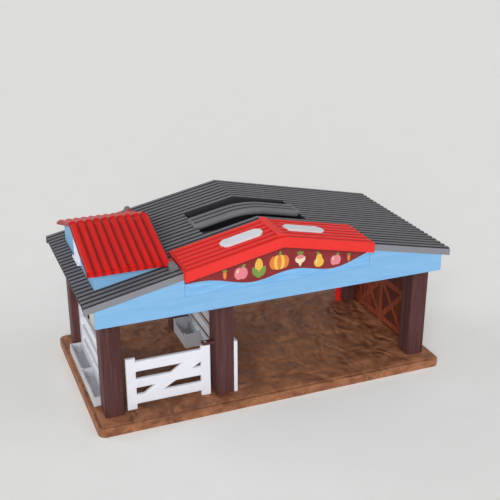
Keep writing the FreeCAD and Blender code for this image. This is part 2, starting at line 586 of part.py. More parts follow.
def carry_grip():
    """Ribbed grip with a round front lip, swept along both slopes with a rounded crown."""
    part = body("grip")
    run = "slot_length / 2 + roof_plate"
    crown = "ridge_height"
    bend = f"(grip_bend * sin(atan({SLOPE})))"
    spine = part.newObject("Sketcher::SketchObject", "Spine")
    spine.AttachmentSupport = [(origin_part(part, "XZ_Plane"), "")]
    spine.MapMode = "FlatFace"
    slope = 2 * SIZES["roof_rise"] / (SIZES["base_length"] + 2 * SIZES["eave_reach"])
    reach = SIZES["slot_length"] / 2 + SIZES["roof_plate"]
    near = SIZES["grip_bend"] * math.sin(math.atan(slope))
    tall = SIZES["ridge_height"]
    spots = [Vector(-reach, tall - slope * reach, 0), Vector(-near, tall - slope * near, 0),
             Vector(near, tall - slope * near, 0), Vector(reach, tall - slope * reach, 0)]
    top = tall - SIZES["grip_bend"] * (1 / math.cos(math.atan(slope)) - 1)
    left = spine.addGeometry(Part.LineSegment(spots[0], spots[1]))
    arc = spine.addGeometry(Part.Arc(spots[2], Vector(0, top, 0), spots[1]))
    right = spine.addGeometry(Part.LineSegment(spots[2], spots[3]))
    corners = ((left, 1, f"-({run})", run), (left, 2, f"-{bend}", bend), (right, 1, bend, bend),
               (right, 2, run, run))
    for line, end, across, away in corners:
        spot = spots[corners.index((line, end, across, away))]
        for kind, text, start in (("DistanceX", across, spot.x),
                                  ("DistanceY", f"{crown} - {SLOPE} * ({away})", spot.y)):
            index = spine.addConstraint(Sketcher.Constraint(kind, -1, 1, line, end, start))
            bind(spine, f"Constraints[{index}]", text)
    spine.addConstraint(Sketcher.Constraint("Coincident", arc, 2, left, 2))
    spine.addConstraint(Sketcher.Constraint("Coincident", arc, 1, right, 1))
    index = spine.addConstraint(Sketcher.Constraint("Radius", arc, SIZES["grip_bend"]))
    bind(spine, f"Constraints[{index}]", "grip_bend")
    end_height = f"({crown} - {SLOPE} * ({run}))"
    front = "(grip_centre - grip_width / 2)"
    back = "(grip_centre + grip_width / 2)"
    lip = f"({front} + grip_lip / 2)"
    step = f"(({back} - {lip}) / grip_ribs)"
    under = f"({end_height} - roof_plate)"
    lift = f"({end_height} + grip_lift)"
    groove = f"({end_height} + grip_lift - rib_height)"
    profile = [(lip, under), (back, under)]
    for turn in range(int(SIZES["grip_ribs"])):
        edge = f"({back} - {step} * {turn})"
        profile += [(edge, lift), (f"{edge} - rib_width", lift), (f"{edge} - rib_width - rib_draft", groove)]
        profile += [(f"{edge} - {step} + rib_draft", groove)]
    profile[-1] = (lip, groove)
    for outline in (profile, (lip, f"{lift} - grip_lip / 2", "grip_lip")):
        pipe = part.newObject("PartDesign::AdditivePipe", "Sweep")
        pipe.Profile = sketch_on(part, "YZ_Plane", [outline], f"-({run})")
        pipe.Spine = (spine, ["Edge1", "Edge2", "Edge3"])
        pipe.Mode = "Fixed"
    return part


def hand_well():
    """Tub that closes the roof under the carry grip and its two hand slots."""
    part = body("hand_well")
    half = "(slot_length / 2 + roof_plate + well_gap)"
    outer = f"({half} + well_wall)"
    front = "(grip_centre - grip_width / 2 - front_slot - well_gap)"
    back = "(grip_centre + grip_width / 2 + rear_slot + well_gap)"
    low = "(ridge_height - well_drop)"
    shape = [(f"-{outer}", low), (outer, low), (outer, under_slope(PLATE_UNDER, outer)), ("0", PLATE_UNDER),
             (f"-{outer}", under_slope(PLATE_UNDER, outer))]
    pad(part, "XZ_Plane", [shape], f"{front} - well_wall", f"{back} + well_wall")
    hollow = rectangle(f"-{half}", half, f"{low} + well_wall", "ridge_height")
    pocket(part, "XZ_Plane", [hollow], front, back)
    keep(part)


def hinge_cheek(side):
    """Round-topped cheek that holds one hatch pin, on the front or rear side."""
    part = body("cheek")
    half = "hinge_round / 2"
    low = f"(-dormer_right - {half})"
    high = f"({half} - dormer_right)"
    block = [(low, under_slope("ridge_height - roof_plate / 2", low)),
             (high, under_slope("ridge_height - roof_plate / 2", high)), (high, HINGE_UP), (low, HINGE_UP)]
    near = f"({HINGE_FACE} - hinge_long)" if side == "1" else f"(-{HINGE_FACE})"
    far = HINGE_FACE if side == "1" else f"(hinge_long - {HINGE_FACE})"
    pad(part, "XZ_Plane", [block], near, far)
    pad(part, "XZ_Plane", [("-dormer_right", HINGE_UP, "hinge_round")], near, far)
    hole = ("-dormer_right", HINGE_UP, "hinge_pin + 2 * pin_gap")
    inner = f"({far} - hinge_pin_long - hinge_gap)" if side == "1" else near
    outer = far if side == "1" else f"({near} + hinge_pin_long + hinge_gap)"
    pocket(part, "XZ_Plane", [hole], inner, outer)
    return part


def fascias():
    """Blue gable boards under the roof rims, and the light panel let into the front one."""
    half = "fascia_length / 2"
    cut = "(panel_length / 2 + fit_gap)"
    front = [(f"-{half}", "fascia_bottom"), (half, "fascia_bottom"), (half, under_slope(RIM_UNDER, half)),
             (cut, under_slope(RIM_UNDER, cut)), (cut, "panel_bottom"), (f"-{cut}", "panel_bottom"),
             (f"-{cut}", under_slope(RIM_UNDER, cut)), (f"-{half}", under_slope(RIM_UNDER, half))]
    part = body("front_fascia")
    pad(part, "XZ_Plane", [front], FRONT, f"{FRONT} + fascia_thick")
    keep(part)
    rear = [(f"-{half}", "fascia_bottom"), (half, "fascia_bottom"), (half, under_slope(RIM_UNDER, half)),
            ("0", RIM_UNDER), (f"-{half}", under_slope(RIM_UNDER, half))]
    part = body("rear_fascia")
    pad(part, "XZ_Plane", [rear], f"{BACK} - fascia_thick", BACK)
    keep(part)
    edge = "panel_length / 2"
    panel = [(f"-{edge}", "panel_bottom"), (edge, "panel_bottom"), (edge, under_slope(RIM_UNDER, edge)),
             ("0", RIM_UNDER), (f"-{edge}", under_slope(RIM_UNDER, edge))]
    part = body("light_panel")
    pad(part, "XZ_Plane", [panel], FRONT, f"{FRONT} + fascia_thick")
    keep(part)


def window_outline(grow):
    """Long eight-sided outline of a roof window, grown by a margin."""
    long = f"(window_length / 2 + {grow})"
    wide = f"(window_width / 2 + {grow})"
    corner = "window_cut"
    return [(f"-{long}", f"-{wide} + {corner}"), (f"-{long} + {corner}", f"-{wide}"),
            (f"{long} - {corner}", f"-{wide}"), (long, f"-{wide} + {corner}"), (long, f"{wide} - {corner}"),
            (f"{long} - {corner}", wide), (f"-{long} + {corner}", wide), (f"-{long}", f"{wide} - {corner}")]


def canopy():
    """Red shell of the light and sound unit, with ribs, ridge cap, window holes and bosses."""
    part = body("canopy_moulding")
    seat = "(ridge_height + fit_gap / 3)"
    shell = [(CANOPY_FRONT, f"{CANOPY_TOP} - canopy_band"), (CANOPY_FRONT, CANOPY_TOP),
             (CANOPY_BACK, CANOPY_TOP), (CANOPY_BACK, seat), (f"{CANOPY_BACK} - canopy_plate", seat),
             (f"{CANOPY_BACK} - canopy_plate", f"{CANOPY_TOP} - canopy_plate"),
             (f"{CANOPY_FRONT} + canopy_plate", f"{CANOPY_TOP} - canopy_plate"),
             (f"{CANOPY_FRONT} + canopy_plate", f"{CANOPY_TOP} - canopy_band")]
    saddle(part, [shell], "0", "canopy_length / 2")
    inset = "(canopy_length / 2 - canopy_plate)"
    drop = f"{SLOPE} * {inset}"
    face = f"({FRONT} - fit_gap)"
    end = [(CANOPY_FRONT, f"{CANOPY_TOP} - canopy_band - {drop}"), (CANOPY_FRONT, f"{CANOPY_TOP} - {drop}"),
           (CANOPY_BACK, f"{CANOPY_TOP} - {drop}"), (CANOPY_BACK, f"{seat} - {drop}"),
           (face, f"{seat} - {drop}"), (face, f"{CANOPY_TOP} - canopy_band - {drop}")]
    saddle(part, [end], inset, "canopy_plate")
    step = "((canopy_depth - canopy_plate) / canopy_ribs)"
    start = f"({CANOPY_FRONT} + canopy_plate + {step} / 2)"
    foot = f"({CANOPY_TOP} - canopy_plate / 2 - {SLOPE} * cap_width / 2)"
    crest = f"({CANOPY_TOP} + canopy_rib_tall - {SLOPE} * cap_width / 2)"
    rib = [(f"{start} - canopy_rib_width / 2", foot), (f"{start} + canopy_rib_width / 2", foot),
           (f"{start} + canopy_rib_width / 2 - rib_draft", crest),
           (f"{start} - canopy_rib_width / 2 + rib_draft", crest)]
    ribs = saddle(part, [rib], "cap_width / 2", "canopy_length / 2 - cap_width / 2 - canopy_plate")
    repeat(part, ribs, "Y_Axis", f"canopy_depth - canopy_plate - {step}", "canopy_ribs")
    cap = [("-cap_width / 2", f"{CANOPY_TOP} - canopy_plate / 2 - {SLOPE} * cap_width / 2"),
           ("cap_width / 2", f"{CANOPY_TOP} - canopy_plate / 2 - {SLOPE} * cap_width / 2"),
           ("cap_width / 2", f"{CANOPY_TOP}"), ("cap_width / 4", f"{CANOPY_TOP} + canopy_rib_tall * 2"),
           ("-cap_width / 4", f"{CANOPY_TOP} + canopy_rib_tall * 2"), ("-cap_width / 2", CANOPY_TOP)]
    pad(part, "XZ_Plane", [cap], f"{CANOPY_FRONT} + canopy_plate", CANOPY_BACK)
    shapes = [part]
    for side in ("1", "-1"):
        across = f"{side} * boss_offset"
        boss = body("boss")
        top = under_slope(f"{CANOPY_TOP} - canopy_plate / 2", "boss_offset")
        centre = (across, f"{TRAY_BACK} - opening_margin - boss_width / 2 - fit_gap")
        pad(boss, "XY_Plane", [centre + ("boss_width",)], FLOOR_TOP, top)
        pocket(boss, "XY_Plane", [eight_sided(*centre, "screw_shank + 2 * pilot_gap")], FLOOR_TOP,
               f"{FLOOR_TOP} + screw_long")
        shapes.append(boss)
    board_top = "(-canopy_plate - key_gap - key_flange - stem_long - plunger_out - switch_tall)"
    for along in ("1", "-1"):
        stand = body("stand")
        centre = ("board_long / 2 - board_boss / 2", f"{along} * (board_wide / 2 - board_boss / 2)")
        pad(stand, "XY_Plane", [centre + ("board_boss",)], board_top, "-canopy_plate / 2")
        shapes.append(tilt(stand, "1"))
        other = body("stand")
        centre = ("board_boss / 2 - board_long / 2", f"{along} * (board_wide / 2 - board_boss / 2)")
        pad(other, "XY_Plane", [centre + ("board_boss",)], board_top, "-canopy_plate / 2")
        shapes.append(tilt(other, "1"))
    whole = join("canopy_solid", shapes)
    holes = []
    for side in ("1", "-1"):
        hole = body("window_hole")
        pad(hole, "XY_Plane", [window_outline("key_gap")], "-2 * canopy_plate", "canopy_lift")
        holes.append(tilt(hole, side))
    shell_cut = doc.addObject("Part::Cut", "canopy_shell")
    shell_cut.Base = whole
    shell_cut.Tool = join("window_holes", holes)
    keep(shell_cut)


def windows():
    """Fixed left window, and the right one as a key on a switch over the circuit board."""
    lens = body("window_left")
    pad(lens, "XY_Plane", [window_outline("0")], "-canopy_plate", "window_proud")
    pad(lens, "XY_Plane", [window_outline("key_flange")], "-canopy_plate - key_flange", "-canopy_plate")
    keep(tilt(lens, "-1"))
    key = body("button_key")
    flange_top = "(-canopy_plate - key_gap)"
    flange_low = f"({flange_top} - key_flange)"
    stem_low = f"({flange_low} - stem_long)"
    pad(key, "XY_Plane", [window_outline("0")], flange_top, "window_proud")
    pad(key, "XY_Plane", [window_outline("key_flange")], flange_low, flange_top)
    pad(key, "XY_Plane", [("0", "0", "stem_width")], stem_low, flange_low)
    keep(tilt(key, "1"))
    plunger = body("switch_plunger")
    pad(plunger, "XY_Plane", [("0", "0", "plunger_width")], f"{stem_low} - plunger_long", stem_low)
    keep(tilt(plunger, "1"))
    switch = body("push_switch")
    switch_top = f"({stem_low} - plunger_out)"
    board_top = f"({switch_top} - switch_tall)"
    pad(switch, "XY_Plane", [square("0", "0", "switch_side")], board_top, switch_top)
    pocket(switch, "XY_Plane", [("0", "0", "plunger_width + 2 * pin_gap")],
           f"{stem_low} - plunger_long - key_travel - fit_gap", switch_top)
    keep(tilt(switch, "1"))
    board = body("circuit_board")
    sides = rectangle("-board_long / 2", "board_long / 2", "-board_wide / 2", "board_wide / 2")
    pad(board, "XY_Plane", [sides], f"{board_top} - board_thick", board_top)
    keep(tilt(board, "1"))


def tray():
    """Open tray under the roof that carries the cells and speaker and takes the middle post."""
    part = body("unit_tray")
    half = "tray_length / 2"
    shape = [(f"-{half}", "tray_floor"), (half, "tray_floor"), (half, under_slope(PLATE_UNDER, half)),
             ("0", PLATE_UNDER), (f"-{half}", under_slope(PLATE_UNDER, half))]
    pad(part, "XZ_Plane", [shape], TRAY_FRONT, TRAY_BACK)
    inner = f"({half} - tray_wall)"
    hollow = rectangle(f"-{inner}", inner, FLOOR_TOP, "ridge_height")
    pocket(part, "XZ_Plane", [hollow], TRAY_FRONT, f"{TRAY_BACK} - tray_wall")
    block = square("middle_post", f"(-{POST_Y})", SOCKET)
    pad(part, "XY_Plane", [block], "post_top", "tray_floor")
    pocket(part, "XY_Plane", [square("middle_post", f"(-{POST_Y})", TENON_HOLE)],
           "post_top", "post_top + tenon_length + 1")
    long, wide = f"({CASE_LONG} / 2 - case_wall)", f"({CASE_WIDE} / 2 - case_wall)"
    door = rectangle(f"-{long}", long, f"{CASE_ALONG} - {wide}", f"{CASE_ALONG} + {wide}")
    pocket(part, "XY_Plane", [door], "tray_floor", FLOOR_TOP)
    holes = [eight_sided("speaker_offset", f"{TRAY_FRONT} + tray_depth / 2", "speaker_width / 5")]
    for turn in range(6):
        angle = turn * 60
        holes.append(eight_sided(f"speaker_offset + speaker_width / 3 * cos({angle} * 1 deg)",
                                 f"{TRAY_FRONT} + tray_depth / 2 + speaker_width / 3 * sin({angle} * 1 deg)",
                                 "speaker_width / 7"))
    pocket(part, "XY_Plane", holes, "tray_floor", FLOOR_TOP)
    boss_along = f"{TRAY_BACK} - opening_margin - boss_width / 2 - fit_gap"
    bore = "screw_shank + screw_gap"
    bores = [eight_sided(f"{side} * boss_offset", boss_along, bore) for side in ("1", "-1")]
    pocket(part, "XY_Plane", bores, "tray_floor", FLOOR_TOP)
    keep(part)


def electronics():
    """Cells in their case, door, light strip, lamps and speaker inside the tray."""
    case = body("battery_case")
    pad(case, "XY_Plane", [square_box(CASE_LONG, CASE_WIDE)], FLOOR_TOP, f"{FLOOR_TOP} + {CASE_TALL}")
    pocket(case, "XY_Plane", [square_box(f"{CASE_LONG} - 2 * case_wall", f"{CASE_WIDE} - 2 * case_wall")],
           FLOOR_TOP, f"{FLOOR_TOP} + {CASE_TALL} - case_wall")
    place(case, "0", CASE_ALONG, "0")
    keep(case)
    cells = []
    for side in ("1", "-1"):
        along = f"{CASE_ALONG} + {side} * (cell_width + cell_gap) / 2"
        up = f"{FLOOR_TOP} + cell_width / 2 + fit_gap"
        cells.append(cylinder("cell", "cell_width", "cell_long", "x", "-cell_long / 2", along, up))
    keep(group("battery_cells", cells))
    door = body("battery_door")
    trim = "2 * case_wall - 2 * fit_gap"
    sides = square_box(f"{CASE_LONG} - {trim}", f"{CASE_WIDE} - {trim}")
    pad(door, "XY_Plane", [sides], f"{FLOOR_TOP} - door_thick", FLOOR_TOP)
    place(door, "0", CASE_ALONG, "0")
    keep(door)
    strip = body("light_strip")
    strip_low = f"({FLOOR_TOP} + case_wall * 2)"
    sides = rectangle("-led_board_long / 2", "led_board_long / 2",
                      strip_low, f"{strip_low} + led_board_tall")
    strip_front = f"({CASE_ALONG} - {CASE_WIDE} / 2 - led_board_thick)"
    pad(strip, "XZ_Plane", [sides], strip_front, f"{strip_front} + led_board_thick")
    keep(strip)
    lamps = []
    for turn in (-1, 0, 1):
        lamps.append(cylinder("lamp", "led_width", "led_long", "y", f"{turn} * led_step",
                              f"{strip_front} - led_long", f"{strip_low} + led_board_tall / 2"))
    keep(group("lamps", lamps))
    keep(cylinder("speaker", "speaker_width", "speaker_tall", "z", "speaker_offset",
                  f"{TRAY_FRONT} + tray_depth / 2", FLOOR_TOP))


def square_box(long, wide):
    return rectangle(f"-({long}) / 2", f"({long}) / 2", f"-({wide}) / 2", f"({wide}) / 2")


def screw(across, along, seat):
    """Pan-head screw driven upwards, with its head under a seat."""
    part = body("screw")
    pad(part, "XY_Plane", [eight_sided("0", "0", "screw_head")], "-screw_head_tall", "0")
    pad(part, "XY_Plane", [eight_sided("0", "0", "screw_shank")], "0", "screw_long")
    return place(part, across, along, seat)


def screws():
    """Screws under the posts and under the light unit's tray."""
    seat = "(screw_head_tall + screw_gap)"
    keep(group("post_screws", [screw(across, along, seat) for _, across, along in POSTS]))
    along = f"{TRAY_BACK} - opening_margin - boss_width / 2 - fit_gap"
    keep(group("unit_screws", [screw(f"{side} * boss_offset", along, "tray_floor") for side in ("1", "-1")]))


def dormer():
    """Blue dormer walls on the left slope, their louvred vent and the hinged red roof over them."""
    part = body("dormer_walls")
    half = "dormer_depth / 2"
    peak = "(dormer_ridge - hatch_plate - fit_gap)"
    eave = f"({peak} - {HATCH_SLOPE} * {half})"
    low = under_slope("ridge_height", "dormer_left")
    gable = [(f"-{half}", low), (half, low), (half, eave), ("0", peak), (f"-{half}", eave)]
    pad(part, "YZ_Plane", [gable], "-dormer_left", "-dormer_right")
    wedge = [("-dormer_left - dormer_wall", low + " - roof_plate * 2"),
             ("dormer_wall - dormer_right", low + " - roof_plate * 2"),
             ("dormer_wall - dormer_right", under_slope("ridge_height", "dormer_right - dormer_wall")),
             ("-dormer_left - dormer_wall", under_slope("ridge_height", "dormer_left + dormer_wall"))]
    pocket(part, "XZ_Plane", [wedge], f"-{half} - dormer_wall", f"{half} + dormer_wall")
    inner = f"({half} - dormer_wall)"
    inner_eave = f"({peak} - {HATCH_SLOPE} * {inner})"
    hollow = [(f"-{inner}", low + " - roof_plate"), (inner, low + " - roof_plate"), (inner, inner_eave),
              ("0", peak), (f"-{inner}", inner_eave)]
    pocket(part, "YZ_Plane", [hollow], "dormer_wall - dormer_left", "-dormer_right - dormer_wall")
    keep(part)
    louvre()
    hatch()


def louvre():
    """White vent on the dormer's gable: frame, slats and sill."""
    part = body("dormer_louvre")
    frame = rectangle("-louvre_width / 2", "louvre_width / 2", "louvre_base", "louvre_base + louvre_tall")
    hole = rectangle("louvre_frame - louvre_width / 2", "louvre_width / 2 - louvre_frame",
                     "louvre_base + louvre_frame", "louvre_base + louvre_tall - louvre_frame")
    pad(part, "YZ_Plane", [frame, hole], "-dormer_left - louvre_thick", "-dormer_left")
    step = "((louvre_tall - 2 * louvre_frame) / louvre_slats)"
    slat_low = "(louvre_base + louvre_frame)"
    slat = [("-dormer_left - louvre_thick", slat_low), ("-dormer_left", f"{slat_low} + {step} / 2"),
            ("-dormer_left", f"{slat_low} + {step} * 0.75"),
            ("-dormer_left - louvre_thick", f"{slat_low} + {step} / 4")]
    reach = "(louvre_width / 2 - louvre_frame / 2)"
    first = pad(part, "XZ_Plane", [slat], f"-{reach}", reach)
    repeat(part, [first], "Z_Axis", f"{step} * (louvre_slats - 1)", "louvre_slats")
    sill = rectangle("-sill_width / 2", "sill_width / 2", "louvre_base - sill_tall", "louvre_base")
    pad(part, "YZ_Plane", [sill], "-dormer_left - sill_out", "-dormer_left")
    keep(part)


def hatch():
    """Red dormer roof with rounded ribs, turning on pins at its right end."""
    part = body("dormer_roof")
    ridge = "dormer_ridge"
    under = "(dormer_ridge - hatch_plate)"
    sheet_outline = rectangle("-hatch_left", "-hatch_right", under, ridge)
    down = f"-{HATCH_SLOPE}"
    slope_pad(part, "XZ_Plane", [sheet_outline], "0", ("0", "-1", down), "hatch_depth / 2")
    slope_pad(part, "XZ_Plane", [sheet_outline], "0", ("0", "1", down), "hatch_depth / 2")
    step = "((hatch_left - hatch_right) / hatch_ribs)"
    start = f"({step} / 2 - hatch_left)"
    drop = f"{HATCH_SLOPE} * hatch_margin"
    foot = f"({ridge} - hatch_plate / 2 - {drop})"
    rib = (start, foot, "hatch_rib_width", "hatch_plate / 2 + hatch_rib_tall")
    long = "hatch_depth / 2 - hatch_margin - hatch_rib_end"
    front = slope_pad(part, "XZ_Plane", [rib], "hatch_margin", ("0", "-1", down), long)
    rear = slope_pad(part, "XZ_Plane", [rib], "-hatch_margin", ("0", "1", down), long)
    repeat(part, [front, rear], "X_Axis", f"{step} * (hatch_ribs - 1)", "hatch_ribs")
    lug = ("-dormer_right", HINGE_UP, "hinge_round - 2 * fit_gap")
    pin = ("-dormer_right", HINGE_UP, "hinge_pin")
    inside = f"({HATCH_FRONT} + hatch_plate)"
    lug_out = f"({HATCH_FRONT} - hinge_lug)"
    pin_out = f"({HINGE_FACE} - hinge_pin_long)"
    pad(part, "XZ_Plane", [lug], lug_out, inside)
    pad(part, "XZ_Plane", [pin], pin_out, lug_out)
    pad(part, "XZ_Plane", [lug], f"-{inside}", f"-{lug_out}")
    pad(part, "XZ_Plane", [pin], f"-{lug_out}", f"-{pin_out}")
    keep(part)


base()
for spot in POSTS:
    post(*spot)
gate()
fence("side_fence", "(post_gap - post_side)", f"-{POST_X} + fence_thick / 2", f"-{POST_Y} + post_side / 2")
fence("partition_fence", "(post_gap + post_side)", "middle_post + post_side / 2 + fence_thick",
      f"-{POST_Y} - post_side / 2")
troughs()
side_wall()
roof_shell()
hand_well()
fascias()
canopy()
windows()
tray()
electronics()
screws()
dormer()
doc.recompute()

os.makedirs("parts", exist_ok=True)
for item in doc.Objects:
    if "Invalid" in item.State or "Error" in item.State:
        raise RuntimeError(f"{item.Label} failed: {item.State}")
for node in nodes:
    if node.Shape.isNull() or not node.Shape.isValid() or not node.Shape.Solids:
        raise RuntimeError(f"{node.Label} has no valid solid")
for node in nodes:
    node.Shape.exportStep(f"parts/{node.Label}.step")
    print(node.Label, len(node.Shape.Solids), round(node.Shape.Volume))
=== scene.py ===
"""The looks of a toy barn: moulded plastic, a mud floor, printed panels, soft light and the camera."""

import json
import math

import bmesh
import bpy
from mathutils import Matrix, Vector, noise


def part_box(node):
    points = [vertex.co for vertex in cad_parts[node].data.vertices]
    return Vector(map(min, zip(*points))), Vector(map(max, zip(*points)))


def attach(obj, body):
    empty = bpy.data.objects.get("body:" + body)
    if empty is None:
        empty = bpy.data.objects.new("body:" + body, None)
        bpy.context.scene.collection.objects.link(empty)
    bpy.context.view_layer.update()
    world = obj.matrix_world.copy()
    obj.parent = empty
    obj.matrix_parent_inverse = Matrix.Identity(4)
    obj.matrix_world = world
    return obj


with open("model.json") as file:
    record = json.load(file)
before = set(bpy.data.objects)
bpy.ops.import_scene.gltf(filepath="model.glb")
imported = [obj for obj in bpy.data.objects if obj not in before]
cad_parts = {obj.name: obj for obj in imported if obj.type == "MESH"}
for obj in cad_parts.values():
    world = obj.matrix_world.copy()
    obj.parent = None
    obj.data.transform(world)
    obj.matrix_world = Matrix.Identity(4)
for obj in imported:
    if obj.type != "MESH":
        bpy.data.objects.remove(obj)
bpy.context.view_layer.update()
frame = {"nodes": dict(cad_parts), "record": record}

# Camera, in metres and in the barn's own frame
CAMERA_PLACE = Vector((-0.3296, -0.8383, 0.5011))
CAMERA_AIM = Vector((0.0146, 0.0200, 0.1205))
CAMERA_LENS = 63.42
SENSOR_SIDE = 36.0

# Light levels and directions
SKY_LEVEL = 0.28
PALE_BACKGROUND = 0.74
FLOOR_GLOW = 0.15
KEY_FROM = Vector((-0.42, -0.86, 0.40))
KEY_STRENGTH = 2.0
KEY_SPREAD = math.radians(40)
FILL_FROM = Vector((0.85, -0.45, 0.60))
FILL_STRENGTH = 0.45
FILL_SPREAD = math.radians(60)
BACK_FROM = Vector((-0.72, 0.64, 0.25))
BACK_STRENGTH = 0.8
BACK_SPREAD = math.radians(30)
STAGE_SIDE = 40.0

# Edges that a mould leaves round
WELD_DISTANCE = 0.000002
FLAT_ANGLE = math.radians(1.0)
EDGE_ANGLE = math.radians(32)
EDGE_ROUND = 0.0004
EDGE_STEPS = 2
ROUND_NODES = ("dormer_roof", "red_pole", "post_screws", "unit_screws", "battery_cells", "lamps")
SWEPT_NODES = ("roof_shell",)

# Moulded plastic: sizes of its clouds and specks, and how far its roughness swings
CLOUD_SIZE = 0.045
CLOUD_LIMITS = (0.3, 0.7)
SPECK_SIZE = 0.0012
MOULD_SKIN = 0.00004
ROOF_SKIN = 0.00006
TROUGH_SKIN = 0.00008
ROUGH_SWING = 0.05

# Wood grain: sizes of its fibres and bands, and how long they run along each axis
FIBRE_SIZE = 0.0016
BAND_SIZE = 0.007
FIBRE_SHARE = 0.55
GRAIN_LIMITS = (0.36, 0.62)
GRAIN_DEPTH = 0.00025
BLUE_DEPTH = 0.0001
WHITE_DEPTH = 0.00005
DARK_ROUGHER = 0.12
PALE_SMOOTHER = 0.06
BOARD_RUN = (16, 16, 1)
UPRIGHT_RUN = (1, 1, 22)
EVEN_RUN = (9, 9, 9)

# The roof's plane and the hollows between its ribs, where shade is painted
ROOF_RIDGE = 0.181
ROOF_SLOPE = 0.21
RIB_TALL = 0.0015
RIB_SHADE = (0.6 * RIB_TALL, 0.97 * RIB_TALL)
RIM_FACE = 0.0985
SLOT_HALF = 0.0590
SLOT_MIDDLE = -0.0020
SLOT_REACH = 0.0335
GRIP_GROOVE = 0.0041
GRIP_STEP = 0.00925
GRIP_SINK = (-2 * RIB_TALL, -RIB_TALL)
GROOVE_HALF = 0.0020
GROOVE_EDGE = 0.0005

# Ribs of the red canopy and of the hatch, between which shade is painted
CANOPY_RIDGE = 0.185
CANOPY_RIB = 0.0009
CANOPY_SHADE = (0.3 * CANOPY_RIB, 0.9 * CANOPY_RIB)
CANOPY_FACE = -0.1062
HATCH_RIB_FIRST = -0.1860
HATCH_RIB_LAST = -0.1120
HATCH_RIBS = 10
VALLEY_HALF = 0.0032

# Print of the light panel: a wavy edge between blue and maroon, and fine diamonds
WAVE_HEIGHT = 0.1425
WAVE_SWING = 0.0035
WAVE_LENGTH = 0.09
WAVE_START = 0.6
WAVE_RISE = 0.006
WAVE_REACH = 0.1
WAVE_POWER = 4
WAVE_EDGE = 0.0002
DIAMOND = 0.0033
DIAMOND_LINE = DIAMOND / 4
DIAMOND_SHARE = 0.80
DIAMOND_DEPTH = 0.00015
PANEL_ROUGH = 0.38
PANEL_CLOUD = 0.02
PANEL_GRAIN = 0.00006

# Print of the wall: upright planks behind a frame with crossed braces
PLANK = 0.011
PLANK_GAP = 0.04
PLANK_SHADE = 0.45
FRAME_LOW = 0.016
FRAME_HIGH = 0.116
FRAME_MIDDLE = 0.066
FRAME_HALF = 0.0038
FRAME_SHADE = 0.0016
FRAME_DARK = 0.75
STALL_WIDE = 0.05
BRACE_LEAN = 0.75
PRINT_EDGE = 0.0003
PRINT_FIBRE = 0.0013
PRINT_LIMITS = (0.35, 0.65)
PRINT_ROUGH = (0.55, 0.40)
PRINT_DEPTH = 0.0001

# Shape of the mud on the tray's floor
MUD_STEP = 0.002
MUD_MARGIN = 0.0045
MUD_FADE = 0.007
MUD_SUNK = 0.0003
MUD_SKIN = 0.00005
MUD_TALL = 0.00105
MUD_SWIRL = 0.045
MUD_BEND = 1.1
MUD_RIDGE = 0.0155
MUD_LONG = 0.0220
MUD_SWELL = 0.07
MUD_SEED = 7
RIDGE_FALL = 1.0
RIDGE_FINER = 2.1
RIDGE_LEVELS = 2
RIDGE_OFFSET = 0.9
RIDGE_GAIN = 2.0
RIDGE_SHARE = 0.85
SWELL_SHARE = 0.2
POST_PAD = 0.004

# Finish of the mud; the dark limits run down, because dark smears lie where the noise is low
MUD_CLOUD = 0.030
MUD_LIMITS = (0.32, 0.68)
MUD_ROUGH = (0.47, 0.62)
SMEAR_SIZE = 0.012
SMEAR_RUN = (1, 1.5, 1)
SMEAR_DEPTH = 0.0004
PALE_LIMITS = (0.52, 0.76)
PALE_SHARE = 0.5
DARK_LIMITS = (0.48, 0.28)
DARK_SHARE = 0.45
DUNE_SIZE = 0.022
DUNE_RUN = (1, 1.3, 1)
DUNE_DEPTH = 0.009
GRIT_SIZE = 0.0014
GRIT_DEPTH = 0.00012

# Crop pictures on the light panel
LAYER = 0.00006
INK_STEP = LAYER / 4
OVAL_STEPS = 24
LEAF_STEPS = 6
PICTURE_SHARE = 0.86
PICTURE_GAP = 0.0008
PICTURE_TOP = 0.1705
INK_ROUGH = 0.34


# Materials


def screen(red, green, blue):
    """A colour in screen values, 0 to 255, as the linear colour that a shader wants."""
    parts = [value / 255 for value in (red, green, blue)]
    curve = [part / 12.92 if part < 0.04045 else ((part + 0.055) / 1.055) ** 2.4 for part in parts]
    return (*curve, 1.0)


# Tones: a darker and a lighter one for each finish, and single ones for painted shade, painted light and
# marks
BLUE_TONES = (screen(125, 182, 230), screen(138, 192, 236))
RED_TONES = (screen(224, 34, 32), screen(238, 46, 42))
# The canopy's red is painted lighter than the barn's red, standing in for the light on its front: painted
# light
CANOPY_LIT_TONES = (screen(234, 49, 45), screen(245, 61, 56))
# Painted shade in the hollows between the canopy's ribs
CANOPY_HOLLOW_SHADE = screen(219, 33, 30)
# The hatch's red is painted darker than the barn's red, standing in for shade that falls on it: painted
# shade
HATCH_SHADED_TONES = (screen(218, 27, 24), screen(232, 36, 32))
# Painted shade in the valleys between the hatch's ribs
HATCH_VALLEY_SHADE = screen(148, 15, 14)
ROOF_TONES = (screen(113, 112, 117), screen(127, 126, 131))
# The roof's rims are painted paler, standing in for the light on their faces: painted light
ROOF_RIM_PAINTED_LIGHT = screen(140, 141, 148)
